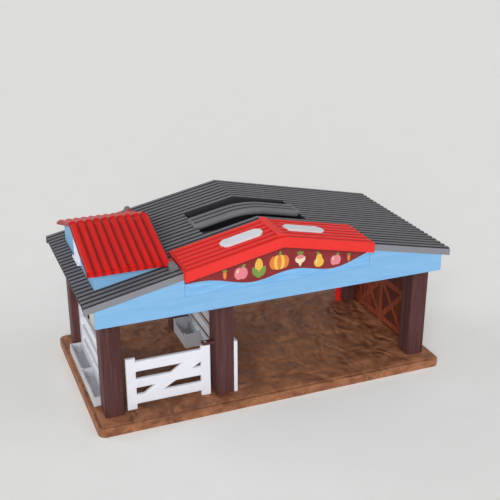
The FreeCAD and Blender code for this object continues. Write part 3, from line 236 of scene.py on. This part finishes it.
# Painted shade in the hollows between the roof's ribs and in the grooves of the grip
ROOF_HOLLOW_SHADE = screen(48, 48, 52)
POST_TONES = (screen(70, 42, 41), screen(98, 62, 60))
WHITE_TONES = (screen(231, 233, 242), screen(239, 241, 249))
TROUGH_TONES = (screen(190, 191, 198), screen(208, 209, 215))
PANEL_BLUES = (screen(120, 182, 234), screen(140, 197, 243))
PANEL_MAROONS = (screen(150, 51, 55), screen(168, 63, 65))
DIAMOND_TONE = screen(102, 30, 36)
PLANK_TONES = (screen(84, 36, 26), screen(142, 62, 38))
PLANK_FIBRE = screen(62, 28, 21)
PLANK_SEAM = screen(36, 18, 14)
RAIL_TONES = (screen(116, 52, 34), screen(150, 72, 46))
RAIL_SHADOW = screen(34, 17, 13)
MUD_TONES = (screen(128, 79, 55), screen(172, 116, 83))
MUD_PALE = screen(188, 132, 95)
MUD_DARK = screen(70, 41, 29)
BOARD_TONES = (screen(20, 92, 48), screen(28, 108, 58))
BLACK_TONES = (screen(24, 24, 25), screen(32, 32, 34))
STEEL_TONES = (screen(150, 151, 154), screen(176, 177, 180))
CELL_TONES = (screen(70, 72, 78), screen(84, 86, 92))
LAMP_TONES = (screen(240, 226, 170), screen(248, 238, 196))
FLOOR_TONES = (screen(236, 236, 234), screen(240, 240, 238))
INK_TONES = {
    "orange": (screen(226, 118, 40), screen(242, 140, 56)),
    "yellow": (screen(240, 190, 70), screen(250, 210, 96)),
    "cream": (screen(240, 224, 184), screen(248, 236, 204)),
    "pink": (screen(232, 128, 140), screen(244, 150, 158)),
    "green": (screen(112, 146, 58), screen(134, 166, 76)),
    "brown": (screen(122, 74, 38), screen(140, 88, 48)),
}
WHITE_LIGHT = (1.0, 1.0, 1.0, 1.0)

# Shader settings of the plastics with little gloss, of metal and of the stage
DULL = {"specular_ior_level": 0.18}
METAL = {"metallic": 1.0}
NO_GLOSS = {"specular_ior_level": 0.0}


class Finish:
    """A procedural material on object coordinates, in metres, put together node by node."""

    def __init__(self, name, **sockets):
        self.material = bpy.data.materials.new(name)
        self.material.use_nodes = True
        self.tree = self.material.node_tree
        self.shader = self.tree.nodes["Principled BSDF"]
        self.place = self.add("ShaderNodeTexCoord").outputs["Object"]
        self.wire(self.shader, sockets)

    def join(self, value, socket):
        """Link a socket to another one's value, or set it to a plain value."""
        if isinstance(value, bpy.types.NodeSocket):
            self.tree.links.new(value, socket)
        else:
            socket.default_value = value

    def wire(self, node, sockets):
        """Set or link a node's sockets, whose names are written in small letters with underscores."""
        for name, value in sockets.items():
            self.join(value, node.inputs[name.replace("_", " ").title().replace("Ior", "IOR")])

    def add(self, kind, settings=None, **sockets):
        node = self.tree.nodes.new(kind)
        for name, value in (settings or {}).items():
            setattr(node, name, value)
        self.wire(node, sockets)
        return node

    def noise(self, size, stretch=(1, 1, 1), detail=3.0, warp=0.0):
        """Noise from 0 to 1 with features about size metres across, times the stretch along each axis."""
        shrink = tuple(1 / part for part in stretch)
        spot = self.add("ShaderNodeMapping", vector=self.place, scale=shrink).outputs["Vector"]
        grain = self.add("ShaderNodeTexNoise", vector=spot, scale=1 / size, detail=detail, distortion=warp)
        return grain.outputs["Fac"]

    def remap(self, value, low, high, start, end):
        """A value that runs from low to high, as one that runs from start to end."""
        node = self.add("ShaderNodeMapRange", value=value, from_min=low, from_max=high,
                        to_min=start, to_max=end)
        return node.outputs["Result"]

    def mix(self, factor, first, second):
        """The first colour where factor is 0, the second where it is 1."""
        return self.add("ShaderNodeMixRGB", fac=factor, color1=first, color2=second).outputs["Color"]

    def toned(self, value, limits, tones):
        """The first tone where a value is at its low limit, the second where it is at its high one."""
        return self.mix(self.remap(value, *limits, 0.0, 1.0), *tones)

    def math(self, operation, first, second=0.0):
        node = self.add("ShaderNodeMath", {"operation": operation})
        for socket, value in zip(node.inputs, (first, second)):
            self.join(value, socket)
        return node.outputs["Value"]

    def plus(self, first, second):
        return self.math("ADD", first, second)

    def minus(self, first, second):
        return self.math("SUBTRACT", first, second)

    def times(self, first, second):
        return self.math("MULTIPLY", first, second)

    def least(self, first, second):
        return self.math("MINIMUM", first, second)

    def unsigned(self, value):
        return self.math("ABSOLUTE", value)

    def fold(self, value, length):
        """A value folded to and fro between 0 and a length."""
        return self.math("PINGPONG", value, length)

    def axes(self):
        """The x, y and z of the place on the object."""
        split = self.add("ShaderNodeSeparateXYZ", vector=self.place)
        return split.outputs["X"], split.outputs["Y"], split.outputs["Z"]

    def relief(self, height, depth):
        """Bump of a height from 0 to 1, depth metres deep, laid on what bump there is."""
        bump = self.add("ShaderNodeBump", height=height, distance=depth)
        under = self.shader.inputs["Normal"]
        if under.is_linked:
            self.tree.links.new(under.links[0].from_socket, bump.inputs["Normal"])
        self.tree.links.new(bump.outputs["Normal"], under)

    def colour(self, value):
        self.wire(self.shader, {"base_color": value})

    def colour_so_far(self):
        return self.shader.inputs["Base Color"].links[0].from_socket

    def roughness(self, value):
        self.wire(self.shader, {"roughness": value})


def plastic(name, tones, rough, skin=MOULD_SKIN, **sockets):
    """Moulded plastic: two close tones in slow clouds, a fine mould skin and uneven gloss."""
    finish = Finish(name, **sockets)
    clouds = finish.noise(CLOUD_SIZE, detail=4.0)
    specks = finish.noise(SPECK_SIZE, detail=2.0)
    finish.colour(finish.toned(clouds, CLOUD_LIMITS, tones))
    finish.roughness(finish.remap(clouds, *CLOUD_LIMITS, rough - ROUGH_SWING, rough + ROUGH_SWING))
    finish.relief(specks, skin)
    return finish


def grained(name, tones, rough, run, depth=GRAIN_DEPTH, **sockets):
    """Plastic moulded with wood grain: fibres and wider bands, with tone and gloss that follow them.

    run is how long the grain is along each axis, as a stretch of the noise."""
    finish = Finish(name, **sockets)
    fibres = finish.noise(FIBRE_SIZE, stretch=run, detail=5.0, warp=0.6)
    bands = finish.noise(BAND_SIZE, stretch=run, detail=3.0, warp=0.8)
    grain = finish.plus(finish.times(fibres, FIBRE_SHARE), finish.times(bands, 1 - FIBRE_SHARE))
    finish.colour(finish.toned(grain, GRAIN_LIMITS, tones))
    finish.roughness(finish.remap(grain, *GRAIN_LIMITS, rough + DARK_ROUGHER, rough - PALE_SMOOTHER))
    finish.relief(grain, depth)
    return finish


def make_canopy_red():
    """Red plastic, painted lighter than the barn's red as painted light, with painted shade between the
    ribs of the canopy's top.
    """
    finish = plastic("canopy_red", CANOPY_LIT_TONES, rough=0.45, **DULL)
    across, along, up = finish.axes()
    fall = finish.times(finish.unsigned(across), ROOF_SLOPE)
    over = finish.plus(finish.minus(up, CANOPY_RIDGE), fall)
    # Painted shade: the canopy's top is darkened low between its ribs
    hollow_shade = finish.remap(over, *CANOPY_SHADE, 1.0, 0.0)
    behind_face = finish.math("GREATER_THAN", along, CANOPY_FACE)
    on_top = finish.math("GREATER_THAN", over, -CANOPY_RIB)
    shade = finish.times(hollow_shade, finish.times(behind_face, on_top))
    finish.colour(finish.mix(shade, finish.colour_so_far(), CANOPY_HOLLOW_SHADE))
    return finish.material


def make_hatch_red():
    """Red plastic, painted darker than the barn's red as painted shade, and with painted shade in the
    valleys between the hatch's round ribs.
    """
    finish = plastic("hatch_red", HATCH_SHADED_TONES, rough=0.42, **DULL)
    across = finish.axes()[0]
    half_pitch = (HATCH_RIB_LAST - HATCH_RIB_FIRST) / (HATCH_RIBS - 1) / 2
    valley = finish.fold(finish.minus(across, HATCH_RIB_FIRST - half_pitch), half_pitch)
    # Painted shade: the red is darkened in the valleys between the ribs
    shade = finish.remap(valley, 0.0, VALLEY_HALF, 1.0, 0.0)
    finish.colour(finish.mix(shade, finish.colour_so_far(), HATCH_VALLEY_SHADE))
    return finish.material


def make_roof_grey():
    """Grey plastic with painted light on the rims, and painted shade in the hollows between the ribs of the
    roof and in the grooves of its grip.
    """
    finish = plastic("roof_grey", ROOF_TONES, rough=0.55, skin=ROOF_SKIN, **DULL)
    across, along, up = finish.axes()
    out = finish.unsigned(across)
    over = finish.minus(up, finish.minus(ROOF_RIDGE, finish.times(out, ROOF_SLOPE)))
    inside = finish.remap(finish.unsigned(along), RIM_FACE, RIM_FACE + RIB_TALL, 1.0, 0.0)
    # Painted shade: darkened low between the roof's ribs, away from the rims
    hollow_shade = finish.times(finish.remap(over, *RIB_SHADE, 1.0, 0.0), inside)
    groove = finish.fold(finish.minus(along, GRIP_GROOVE), GRIP_STEP / 2)
    # Painted shade: darkened lines in the grooves of the grip
    grip_groove_shade = finish.remap(groove, GROOVE_HALF - GROOVE_EDGE, GROOVE_HALF, 1.0, 0.0)
    grip_groove_shade = finish.times(grip_groove_shade, finish.remap(over, *GRIP_SINK, 0.0, 1.0))
    beside = finish.unsigned(finish.minus(along, SLOT_MIDDLE))
    by_length = finish.math("LESS_THAN", out, SLOT_HALF)
    by_width = finish.math("LESS_THAN", beside, SLOT_REACH)
    on_grip = finish.times(by_length, by_width)
    shade = finish.add("ShaderNodeMix", {"data_type": "FLOAT"}, factor=on_grip, a=hollow_shade, b=grip_groove_shade)
    # Painted light: the rims are made paler than the rest of the roof
    rim_lit = finish.mix(inside, ROOF_RIM_PAINTED_LIGHT, finish.colour_so_far())
    finish.colour(finish.mix(shade.outputs["Result"], rim_lit, ROOF_HOLLOW_SHADE))
    return finish.material


def make_panel_print():
    """Light panel: blue with a wavy upper edge, and above it maroon with fine moulded diamonds."""
    finish = Finish("panel_print", roughness=PANEL_ROUGH, **DULL)
    across, _, up = finish.axes()
    turn = finish.plus(finish.times(across, 2 * math.pi / WAVE_LENGTH), WAVE_START)
    wave = finish.times(finish.math("SINE", turn), WAVE_SWING)
    out = finish.math("DIVIDE", finish.unsigned(across), WAVE_REACH)
    rise = finish.plus(wave, finish.times(finish.math("POWER", out, WAVE_POWER), WAVE_RISE))
    over = finish.minus(finish.minus(up, WAVE_HEIGHT), rise)
    printed = finish.remap(over, -WAVE_EDGE, WAVE_EDGE, 0.0, 1.0)
    folds = [finish.fold(finish.math(sign, across, up), DIAMOND / 2) for sign in ("ADD", "SUBTRACT")]
    diamonds = finish.remap(finish.least(*folds), 0.0, DIAMOND_LINE, 0.0, 1.0)
    clouds = finish.noise(PANEL_CLOUD, detail=4.0)
    grain = finish.noise(FIBRE_SIZE, stretch=BOARD_RUN, detail=5.0, warp=0.6)
    blue = finish.toned(grain, GRAIN_LIMITS, PANEL_BLUES)
    maroon = finish.toned(clouds, CLOUD_LIMITS, PANEL_MAROONS)
    maroon = finish.mix(finish.remap(diamonds, 0.0, 1.0, DIAMOND_SHARE, 0.0), maroon, DIAMOND_TONE)
    finish.colour(finish.mix(printed, blue, maroon))
    finish.relief(finish.times(diamonds, printed), DIAMOND_DEPTH)
    finish.relief(grain, PANEL_GRAIN)
    return finish.material


def make_wall_print():
    """Printed boards: upright planks of several red browns, behind a frame with crossed braces."""
    finish = Finish("wall_print", **DULL)
    _, along, up = finish.axes()
    place = finish.math("DIVIDE", along, PLANK)
    plank = finish.math("FLOOR", place)
    tone = finish.add("ShaderNodeTexWhiteNoise", {"noise_dimensions": "1D"}, w=plank)
    seam = finish.remap(finish.fold(place, 0.5), 0.0, PLANK_GAP, 1.0, 0.0)
    fibres = finish.noise(PRINT_FIBRE, stretch=UPRIGHT_RUN, detail=5.0, warp=0.6)
    planks = finish.mix(tone.outputs["Value"], *PLANK_TONES)
    planks = finish.mix(finish.remap(fibres, *PRINT_LIMITS, PLANK_SHADE, 0.0), planks, PLANK_FIBRE)
    planks = finish.mix(seam, planks, PLANK_SEAM)
    stall = finish.fold(along, STALL_WIDE)
    rise = finish.times(stall, (FRAME_MIDDLE - FRAME_LOW) / STALL_WIDE)
    rising = finish.unsigned(finish.minus(finish.minus(up, FRAME_LOW), rise))
    falling = finish.unsigned(finish.minus(finish.minus(FRAME_MIDDLE, up), rise))
    crossed = finish.times(finish.least(rising, falling), BRACE_LEAN)
    crossed = finish.plus(crossed, finish.math("GREATER_THAN", up, FRAME_MIDDLE))
    upright = finish.least(stall, finish.minus(STALL_WIDE, stall))
    nearest = finish.least(upright, crossed)
    for height in (FRAME_LOW, FRAME_MIDDLE, FRAME_HIGH):
        nearest = finish.least(nearest, finish.unsigned(finish.minus(up, height)))
    framed = finish.remap(nearest, FRAME_HALF - PRINT_EDGE, FRAME_HALF, 1.0, 0.0)
    shade = finish.remap(nearest, FRAME_HALF, FRAME_HALF + FRAME_SHADE, FRAME_DARK, 0.0)
    planks = finish.mix(shade, planks, RAIL_SHADOW)
    rails = finish.toned(fibres, PRINT_LIMITS, RAIL_TONES)
    finish.colour(finish.mix(framed, planks, rails))
    finish.roughness(finish.remap(fibres, *PRINT_LIMITS, *PRINT_ROUGH))
    finish.relief(finish.minus(fibres, seam), PRINT_DEPTH)
    return finish.material


def make_earth():
    """Damp mud: brown clouds with pale and dark smears, soft dunes and a gloss that comes and goes."""
    finish = Finish("earth", **DULL)
    clouds = finish.noise(MUD_CLOUD, detail=5.0, warp=0.7)
    smears = finish.noise(SMEAR_SIZE, stretch=SMEAR_RUN, detail=5.0, warp=1.4)
    grit = finish.noise(GRIT_SIZE, detail=3.0)
    dunes = finish.noise(DUNE_SIZE, stretch=DUNE_RUN, detail=1.0, warp=0.7)
    tone = finish.toned(clouds, MUD_LIMITS, MUD_TONES)
    tone = finish.mix(finish.remap(smears, *PALE_LIMITS, 0.0, PALE_SHARE), tone, MUD_PALE)
    tone = finish.mix(finish.remap(smears, *DARK_LIMITS, 0.0, DARK_SHARE), tone, MUD_DARK)
    finish.colour(tone)
    finish.roughness(finish.remap(clouds, *CLOUD_LIMITS, *MUD_ROUGH))
    finish.relief(dunes, DUNE_DEPTH)
    finish.relief(smears, SMEAR_DEPTH)
    finish.relief(grit, GRIT_DEPTH)
    return finish.material


materials = {
    "sky_blue": grained("sky_blue", BLUE_TONES, rough=0.45, run=BOARD_RUN, depth=BLUE_DEPTH).material,
    "barn_red": plastic("barn_red", RED_TONES, rough=0.45, **DULL).material,
    "roof_grey": make_roof_grey(),
    "post_brown": grained("post_brown", POST_TONES, rough=0.55, run=UPRIGHT_RUN, **DULL).material,
    "white": grained("white", WHITE_TONES, rough=0.4, run=EVEN_RUN, depth=WHITE_DEPTH).material,
    "pale_grey": plastic("pale_grey", TROUGH_TONES, rough=0.5, skin=TROUGH_SKIN).material,
    "earth": make_earth(),
    "panel_print": make_panel_print(),
    "wall_print": make_wall_print(),
    "board_green": plastic("board_green", BOARD_TONES, rough=0.4).material,
    "black": plastic("black", BLACK_TONES, rough=0.5).material,
    "steel": plastic("steel", STEEL_TONES, rough=0.3, **METAL).material,
    "cell": plastic("cell", CELL_TONES, rough=0.35).material,
    "lamp": plastic("lamp", LAMP_TONES, rough=0.15).material,
}
own_finishes = {"canopy_shell": make_canopy_red(), "dormer_roof": make_hatch_red()}
inks = {name: plastic("ink_" + name, tones, rough=INK_ROUGH).material for name, tones in INK_TONES.items()}


# The solids, dressed


def join_faces(piece):
    weld = piece.modifiers.new("join_faces", "WELD")
    weld.merge_threshold = WELD_DISTANCE


def merge_flats(piece):
    flat = piece.modifiers.new("flat_faces", "DECIMATE")
    flat.decimate_type = "DISSOLVE"
    flat.angle_limit = FLAT_ANGLE


def round_edges(piece):
    """Round the sharp edges of a solid as its mould does, under a modifier."""
    edges = piece.modifiers.new("moulded_edges", "BEVEL")
    edges.width = EDGE_ROUND
    edges.segments = EDGE_STEPS
    edges.limit_method = "ANGLE"
    edges.angle_limit = EDGE_ANGLE
    edges.harden_normals = True


def dress_solids():
    """Give each solid its finish, and round the edges of those that aren't all curves."""
    for part in frame["record"]["subparts"]:
        node = part["node"]
        piece = frame["nodes"][node]
        piece.data.materials.clear()
        piece.data.materials.append(own_finishes.get(node, materials[part["material_slot"]]))
        if node in ROUND_NODES:
            continue
        join_faces(piece)
        if node not in SWEPT_NODES:
            merge_flats(piece)
        round_edges(piece)


# New pieces


def add_piece(name, form, finishes, body):
    """A piece of the model from a finished form, riding on a body."""
    bmesh.ops.recalc_face_normals(form, faces=form.faces)
    mesh = bpy.data.meshes.new(name)
    form.to_mesh(mesh)
    form.free()
    for finish in finishes:
        mesh.materials.append(finish)
    piece = bpy.data.objects.new(name, mesh)
    bpy.context.scene.collection.objects.link(piece)
    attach(piece, body)


def mud_height(spot):
    """Height of the mud from 0 to 1: broken ridges bent by slow swirls, over soft swells."""
    bend = noise.noise_vector(spot / MUD_SWIRL) * MUD_BEND
    place = Vector((spot.x / MUD_LONG, spot.y / MUD_RIDGE, 0)) + bend
    ridges = noise.ridged_multi_fractal(place, RIDGE_FALL, RIDGE_FINER, RIDGE_LEVELS,
                                        RIDGE_OFFSET, RIDGE_GAIN)
    swell = noise.noise(spot / MUD_SWELL)
    return min(1.0, max(0.0, RIDGE_SHARE * ridges + SWELL_SHARE * swell))


def square_distance(spot, low, high):
    """How far a spot lies outside an upright box, seen from above."""
    across = max(low.x - spot.x, spot.x - high.x, 0.0)
    along = max(low.y - spot.y, spot.y - high.y, 0.0)
    return math.hypot(across, along)


def make_mud():
    """Churned mud on the tray's floor, fading to its edge and flat round the post feet."""
    # Without a seed the swirls follow the clock, and the mud differs in every run
    noise.seed_set(MUD_SEED)
    low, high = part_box("base")
    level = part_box("feed_trough")[0].z
    post_names = [name for name in frame["nodes"] if name.startswith("post_") and "screws" not in name]
    posts = [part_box(name) for name in post_names]
    left, right = low.x + MUD_MARGIN, high.x - MUD_MARGIN
    front, back = low.y + MUD_MARGIN, high.y - MUD_MARGIN
    columns = round((right - left) / MUD_STEP)
    rows = round((back - front) / MUD_STEP)
    form = bmesh.new()
    grid = []
    for row in range(rows + 1):
        along = front + (back - front) * row / rows
        line = []
        for column in range(columns + 1):
            spot = Vector((left + (right - left) * column / columns, along, 0))
            edge = min(spot.x - left, right - spot.x, spot.y - front, back - spot.y) / MUD_FADE
            foot = min(square_distance(spot, *post) for post in posts) / POST_PAD
            fade = min(1.0, edge, foot)
            rounded = fade * (2 - fade)
            spot.z = level + MUD_SKIN + MUD_TALL * mud_height(spot) * rounded
            line.append(form.verts.new(spot))
        grid.append(line)
    for row in range(rows):
        for column in range(columns):
            face = form.faces.new((grid[row][column], grid[row][column + 1],
                                   grid[row + 1][column + 1], grid[row + 1][column]))
            face.smooth = True
    right_side = [line[-1] for line in grid[1:]]
    left_side = [line[0] for line in grid[-2:0:-1]]
    rim = grid[0] + right_side + grid[-1][-2::-1] + left_side
    sunk = [form.verts.new((vert.co.x, vert.co.y, level - MUD_SUNK)) for vert in rim]
    for index in range(len(rim)):
        form.faces.new((rim[index - 1], rim[index], sunk[index], sunk[index - 1]))
    form.faces.new(sunk)
    add_piece("floor_mud", form, [materials["earth"]], "barn")


# Crops, drawn in shares of a picture's side, from its middle


def leaning(spots, across, up, lean):
    """Spots turned by an angle in degrees, and set about a point."""
    cosine, sine = math.cos(math.radians(lean)), math.sin(math.radians(lean))
    return [(across + x * cosine - z * sine, up + x * sine + z * cosine) for x, z in spots]


def oval(across, up, wide, tall, lean=0.0):
    """Outline of an oval about a point, leaning by an angle in degrees."""
    turns = [2 * math.pi * step / OVAL_STEPS for step in range(OVAL_STEPS)]
    spots = [(wide / 2 * math.cos(turn), tall / 2 * math.sin(turn)) for turn in turns]
    return leaning(spots, across, up, lean)


def leaf(across, up, wide, long, lean):
    """Outline of a pointed leaf from its foot, leaning by an angle in degrees."""
    shares = [step / LEAF_STEPS for step in range(LEAF_STEPS + 1)]
    side = [(wide / 2 * math.sin(math.pi * share), long * share) for share in shares]
    return leaning(side + [(-x, z) for x, z in side[-2:0:-1]], across, up, lean)


def pumpkin():
    sides = [("orange", oval(out, -0.08, 0.50, 0.66)) for out in (-0.24, 0.24)]
    middle = [("yellow", oval(out, -0.08, 0.34, 0.72)) for out in (-0.10, 0.10)]
    front = [("orange", oval(0, -0.08, 0.22, 0.74))]
    stalk = [("green", leaf(0, 0.24, 0.14, 0.26, -18))]
    return sides + middle + front + stalk


def apple():
    halves = [("pink", oval(out, -0.06, 0.54, 0.74)) for out in (-0.13, 0.13)]
    shine = [("cream", oval(-0.20, 0.08, 0.10, 0.24, -14))]
    stalk = [("brown", leaf(0, 0.22, 0.07, 0.28, 10))]
    return halves + shine + stalk + [("green", leaf(0.02, 0.32, 0.16, 0.30, -64))]


def pear():
    flesh = [("yellow", oval(0, -0.18, 0.66, 0.62)), ("yellow", oval(0, 0.10, 0.40, 0.56))]
    shine = [("cream", oval(-0.15, -0.08, 0.10, 0.30, -10))]
    stalk = [("brown", leaf(0, 0.34, 0.07, 0.20, -8))]
    return flesh + shine + stalk + [("green", leaf(0.02, 0.40, 0.14, 0.26, 70))]


def carrot():
    tops = [("green", leaf(0, 0.16, 0.13, 0.36, lean)) for lean in (-42, -14, 14, 42)]
    root = [("orange", leaf(0, 0.26, 0.40, 0.40, 180)), ("orange", leaf(0, 0.20, 0.34, 0.72, 180))]
    ring_sizes = ((0.06, 0.20), (-0.12, 0.13), (-0.26, 0.08))
    rings = [("yellow", oval(0, up, wide, 0.03)) for up, wide in ring_sizes]
    return tops + root + rings


def turnip():
    tops = [("green", leaf(0, 0.18, 0.15, 0.34, lean)) for lean in (-38, 0, 38)]
    root = [("cream", leaf(0, -0.10, 0.20, 0.42, 180)), ("cream", oval(0, -0.04, 0.66, 0.54))]
    return tops + root + [("pink", oval(0, 0.10, 0.54, 0.26))]


def corn():
    cob = [("yellow", oval(0, 0.06, 0.40, 0.84))]
    spots = [(out, up) for up in (-0.10, 0.04, 0.18, 0.32) for out in (-0.09, 0, 0.09)]
    grains = [("orange", oval(out, up, 0.035, 0.09)) for out, up in spots]
    husk = [("green", leaf(0, -0.48, 0.30, 0.66, lean)) for lean in (30, -30)]
    return cob + grains + husk


# Places of the pictures along the panel, in metres
PICTURES = ((-0.060, carrot), (-0.043, apple), (-0.024, corn), (-0.002, pumpkin), (0.021, turnip),
            (0.042, pear), (0.061, apple), (0.076, carrot))


def add_prism(form, outline, back, front, ink):
    """A closed flat prism over an outline of x and z, from one y to another."""
    near, far = ([form.verts.new((x, y, z)) for x, z in outline] for y in (front, back))
    faces = [form.faces.new(near), form.faces.new(far[::-1])]
    for index in range(len(outline)):
        faces.append(form.faces.new((near[index - 1], far[index - 1], far[index], near[index])))
    for face in faces:
        face.material_index = ink


def wave_height(across):
    """Height of the panel's wavy edge, as its print draws it."""
    wave = WAVE_SWING * math.sin(2 * math.pi * across / WAVE_LENGTH + WAVE_START)
    return WAVE_HEIGHT + wave + WAVE_RISE * (abs(across) / WAVE_REACH) ** WAVE_POWER


def make_pictures():
    """Thin printed pictures of common crops along the light panel."""
    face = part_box("light_panel")[0].y
    form = bmesh.new()
    colours = list(inks)
    for centre, picture in PICTURES:
        foot = wave_height(centre) + PICTURE_GAP
        room = PICTURE_TOP - ROOF_SLOPE * abs(centre) - foot
        size = room * PICTURE_SHARE
        for layer, (colour, outline) in enumerate(picture(), start=1):
            placed = [(centre + x * size, foot + room / 2 + z * size) for x, z in outline]
            add_prism(form, placed, face + LAYER, face - INK_STEP * layer, colours.index(colour))
    add_piece("panel_pictures", form, list(inks.values()), "barn")


# Stage, light and camera


def seen_directly(tree):
    """A socket that is 1 for what the camera, gloss and clear plastic see, and 0 for other light."""
    path = tree.nodes.new("ShaderNodeLightPath")
    seen = path.outputs["Is Camera Ray"]
    for kind in ("Is Glossy Ray", "Is Transmission Ray"):
        either = tree.nodes.new("ShaderNodeMath")
        either.operation = "MAXIMUM"
        tree.links.new(seen, either.inputs[0])
        tree.links.new(path.outputs[kind], either.inputs[1])
        seen = either.outputs["Value"]
    return seen


def make_stage():
    """A pale floor, a little lighter to look at than the light on it makes it."""
    bpy.ops.mesh.primitive_plane_add(size=STAGE_SIDE)
    floor = bpy.context.object
    floor.name = "studio_floor"
    finish = plastic("studio_floor", FLOOR_TONES, rough=0.8, skin=0.0, **NO_GLOSS)
    glow = finish.times(seen_directly(finish.tree), FLOOR_GLOW)
    finish.wire(finish.shader, {"emission_color": WHITE_LIGHT, "emission_strength": glow})
    floor.data.materials.append(finish.material)


def make_sun(name, direction, strength, spread):
    lamp = bpy.data.lights.new(name, "SUN")
    lamp.energy = strength
    lamp.angle = spread
    sun = bpy.data.objects.new(name, lamp)
    sun.rotation_euler = (-direction).to_track_quat("-Z", "Y").to_euler()
    bpy.context.scene.collection.objects.link(sun)


def add_background(tree, strength):
    background = tree.nodes.new("ShaderNodeBackground")
    background.inputs["Color"].default_value = WHITE_LIGHT
    background.inputs["Strength"].default_value = strength
    return background.outputs["Background"]


def make_sky():
    """Even light on the object, and a pale backdrop for what the camera and the gloss see."""
    world = bpy.data.worlds.new("studio")
    world.use_nodes = True
    bpy.context.scene.world = world
    tree = world.node_tree
    tree.nodes.clear()
    choose = tree.nodes.new("ShaderNodeMixShader")
    output = tree.nodes.new("ShaderNodeOutputWorld")
    tree.links.new(seen_directly(tree), choose.inputs["Fac"])
    tree.links.new(add_background(tree, SKY_LEVEL), choose.inputs[1])
    tree.links.new(add_background(tree, PALE_BACKGROUND), choose.inputs[2])
    tree.links.new(choose.outputs["Shader"], output.inputs["Surface"])


def make_camera():
    lens = bpy.data.cameras.new("camera")
    lens.sensor_width = SENSOR_SIDE
    lens.sensor_height = SENSOR_SIDE
    lens.lens = CAMERA_LENS
    camera = bpy.data.objects.new("camera", lens)
    camera.location = CAMERA_PLACE
    camera.rotation_euler = (CAMERA_AIM - CAMERA_PLACE).to_track_quat("-Z", "Y").to_euler()
    bpy.context.scene.collection.objects.link(camera)
    bpy.context.scene.camera = camera


dress_solids()
make_mud()
make_pictures()
make_stage()
make_sun("key", KEY_FROM, KEY_STRENGTH, KEY_SPREAD)
make_sun("fill", FILL_FROM, FILL_STRENGTH, FILL_SPREAD)
make_sun("back", BACK_FROM, BACK_STRENGTH, BACK_SPREAD)
make_sky()
make_camera()
bpy.context.scene.view_settings.view_transform = "Standard"
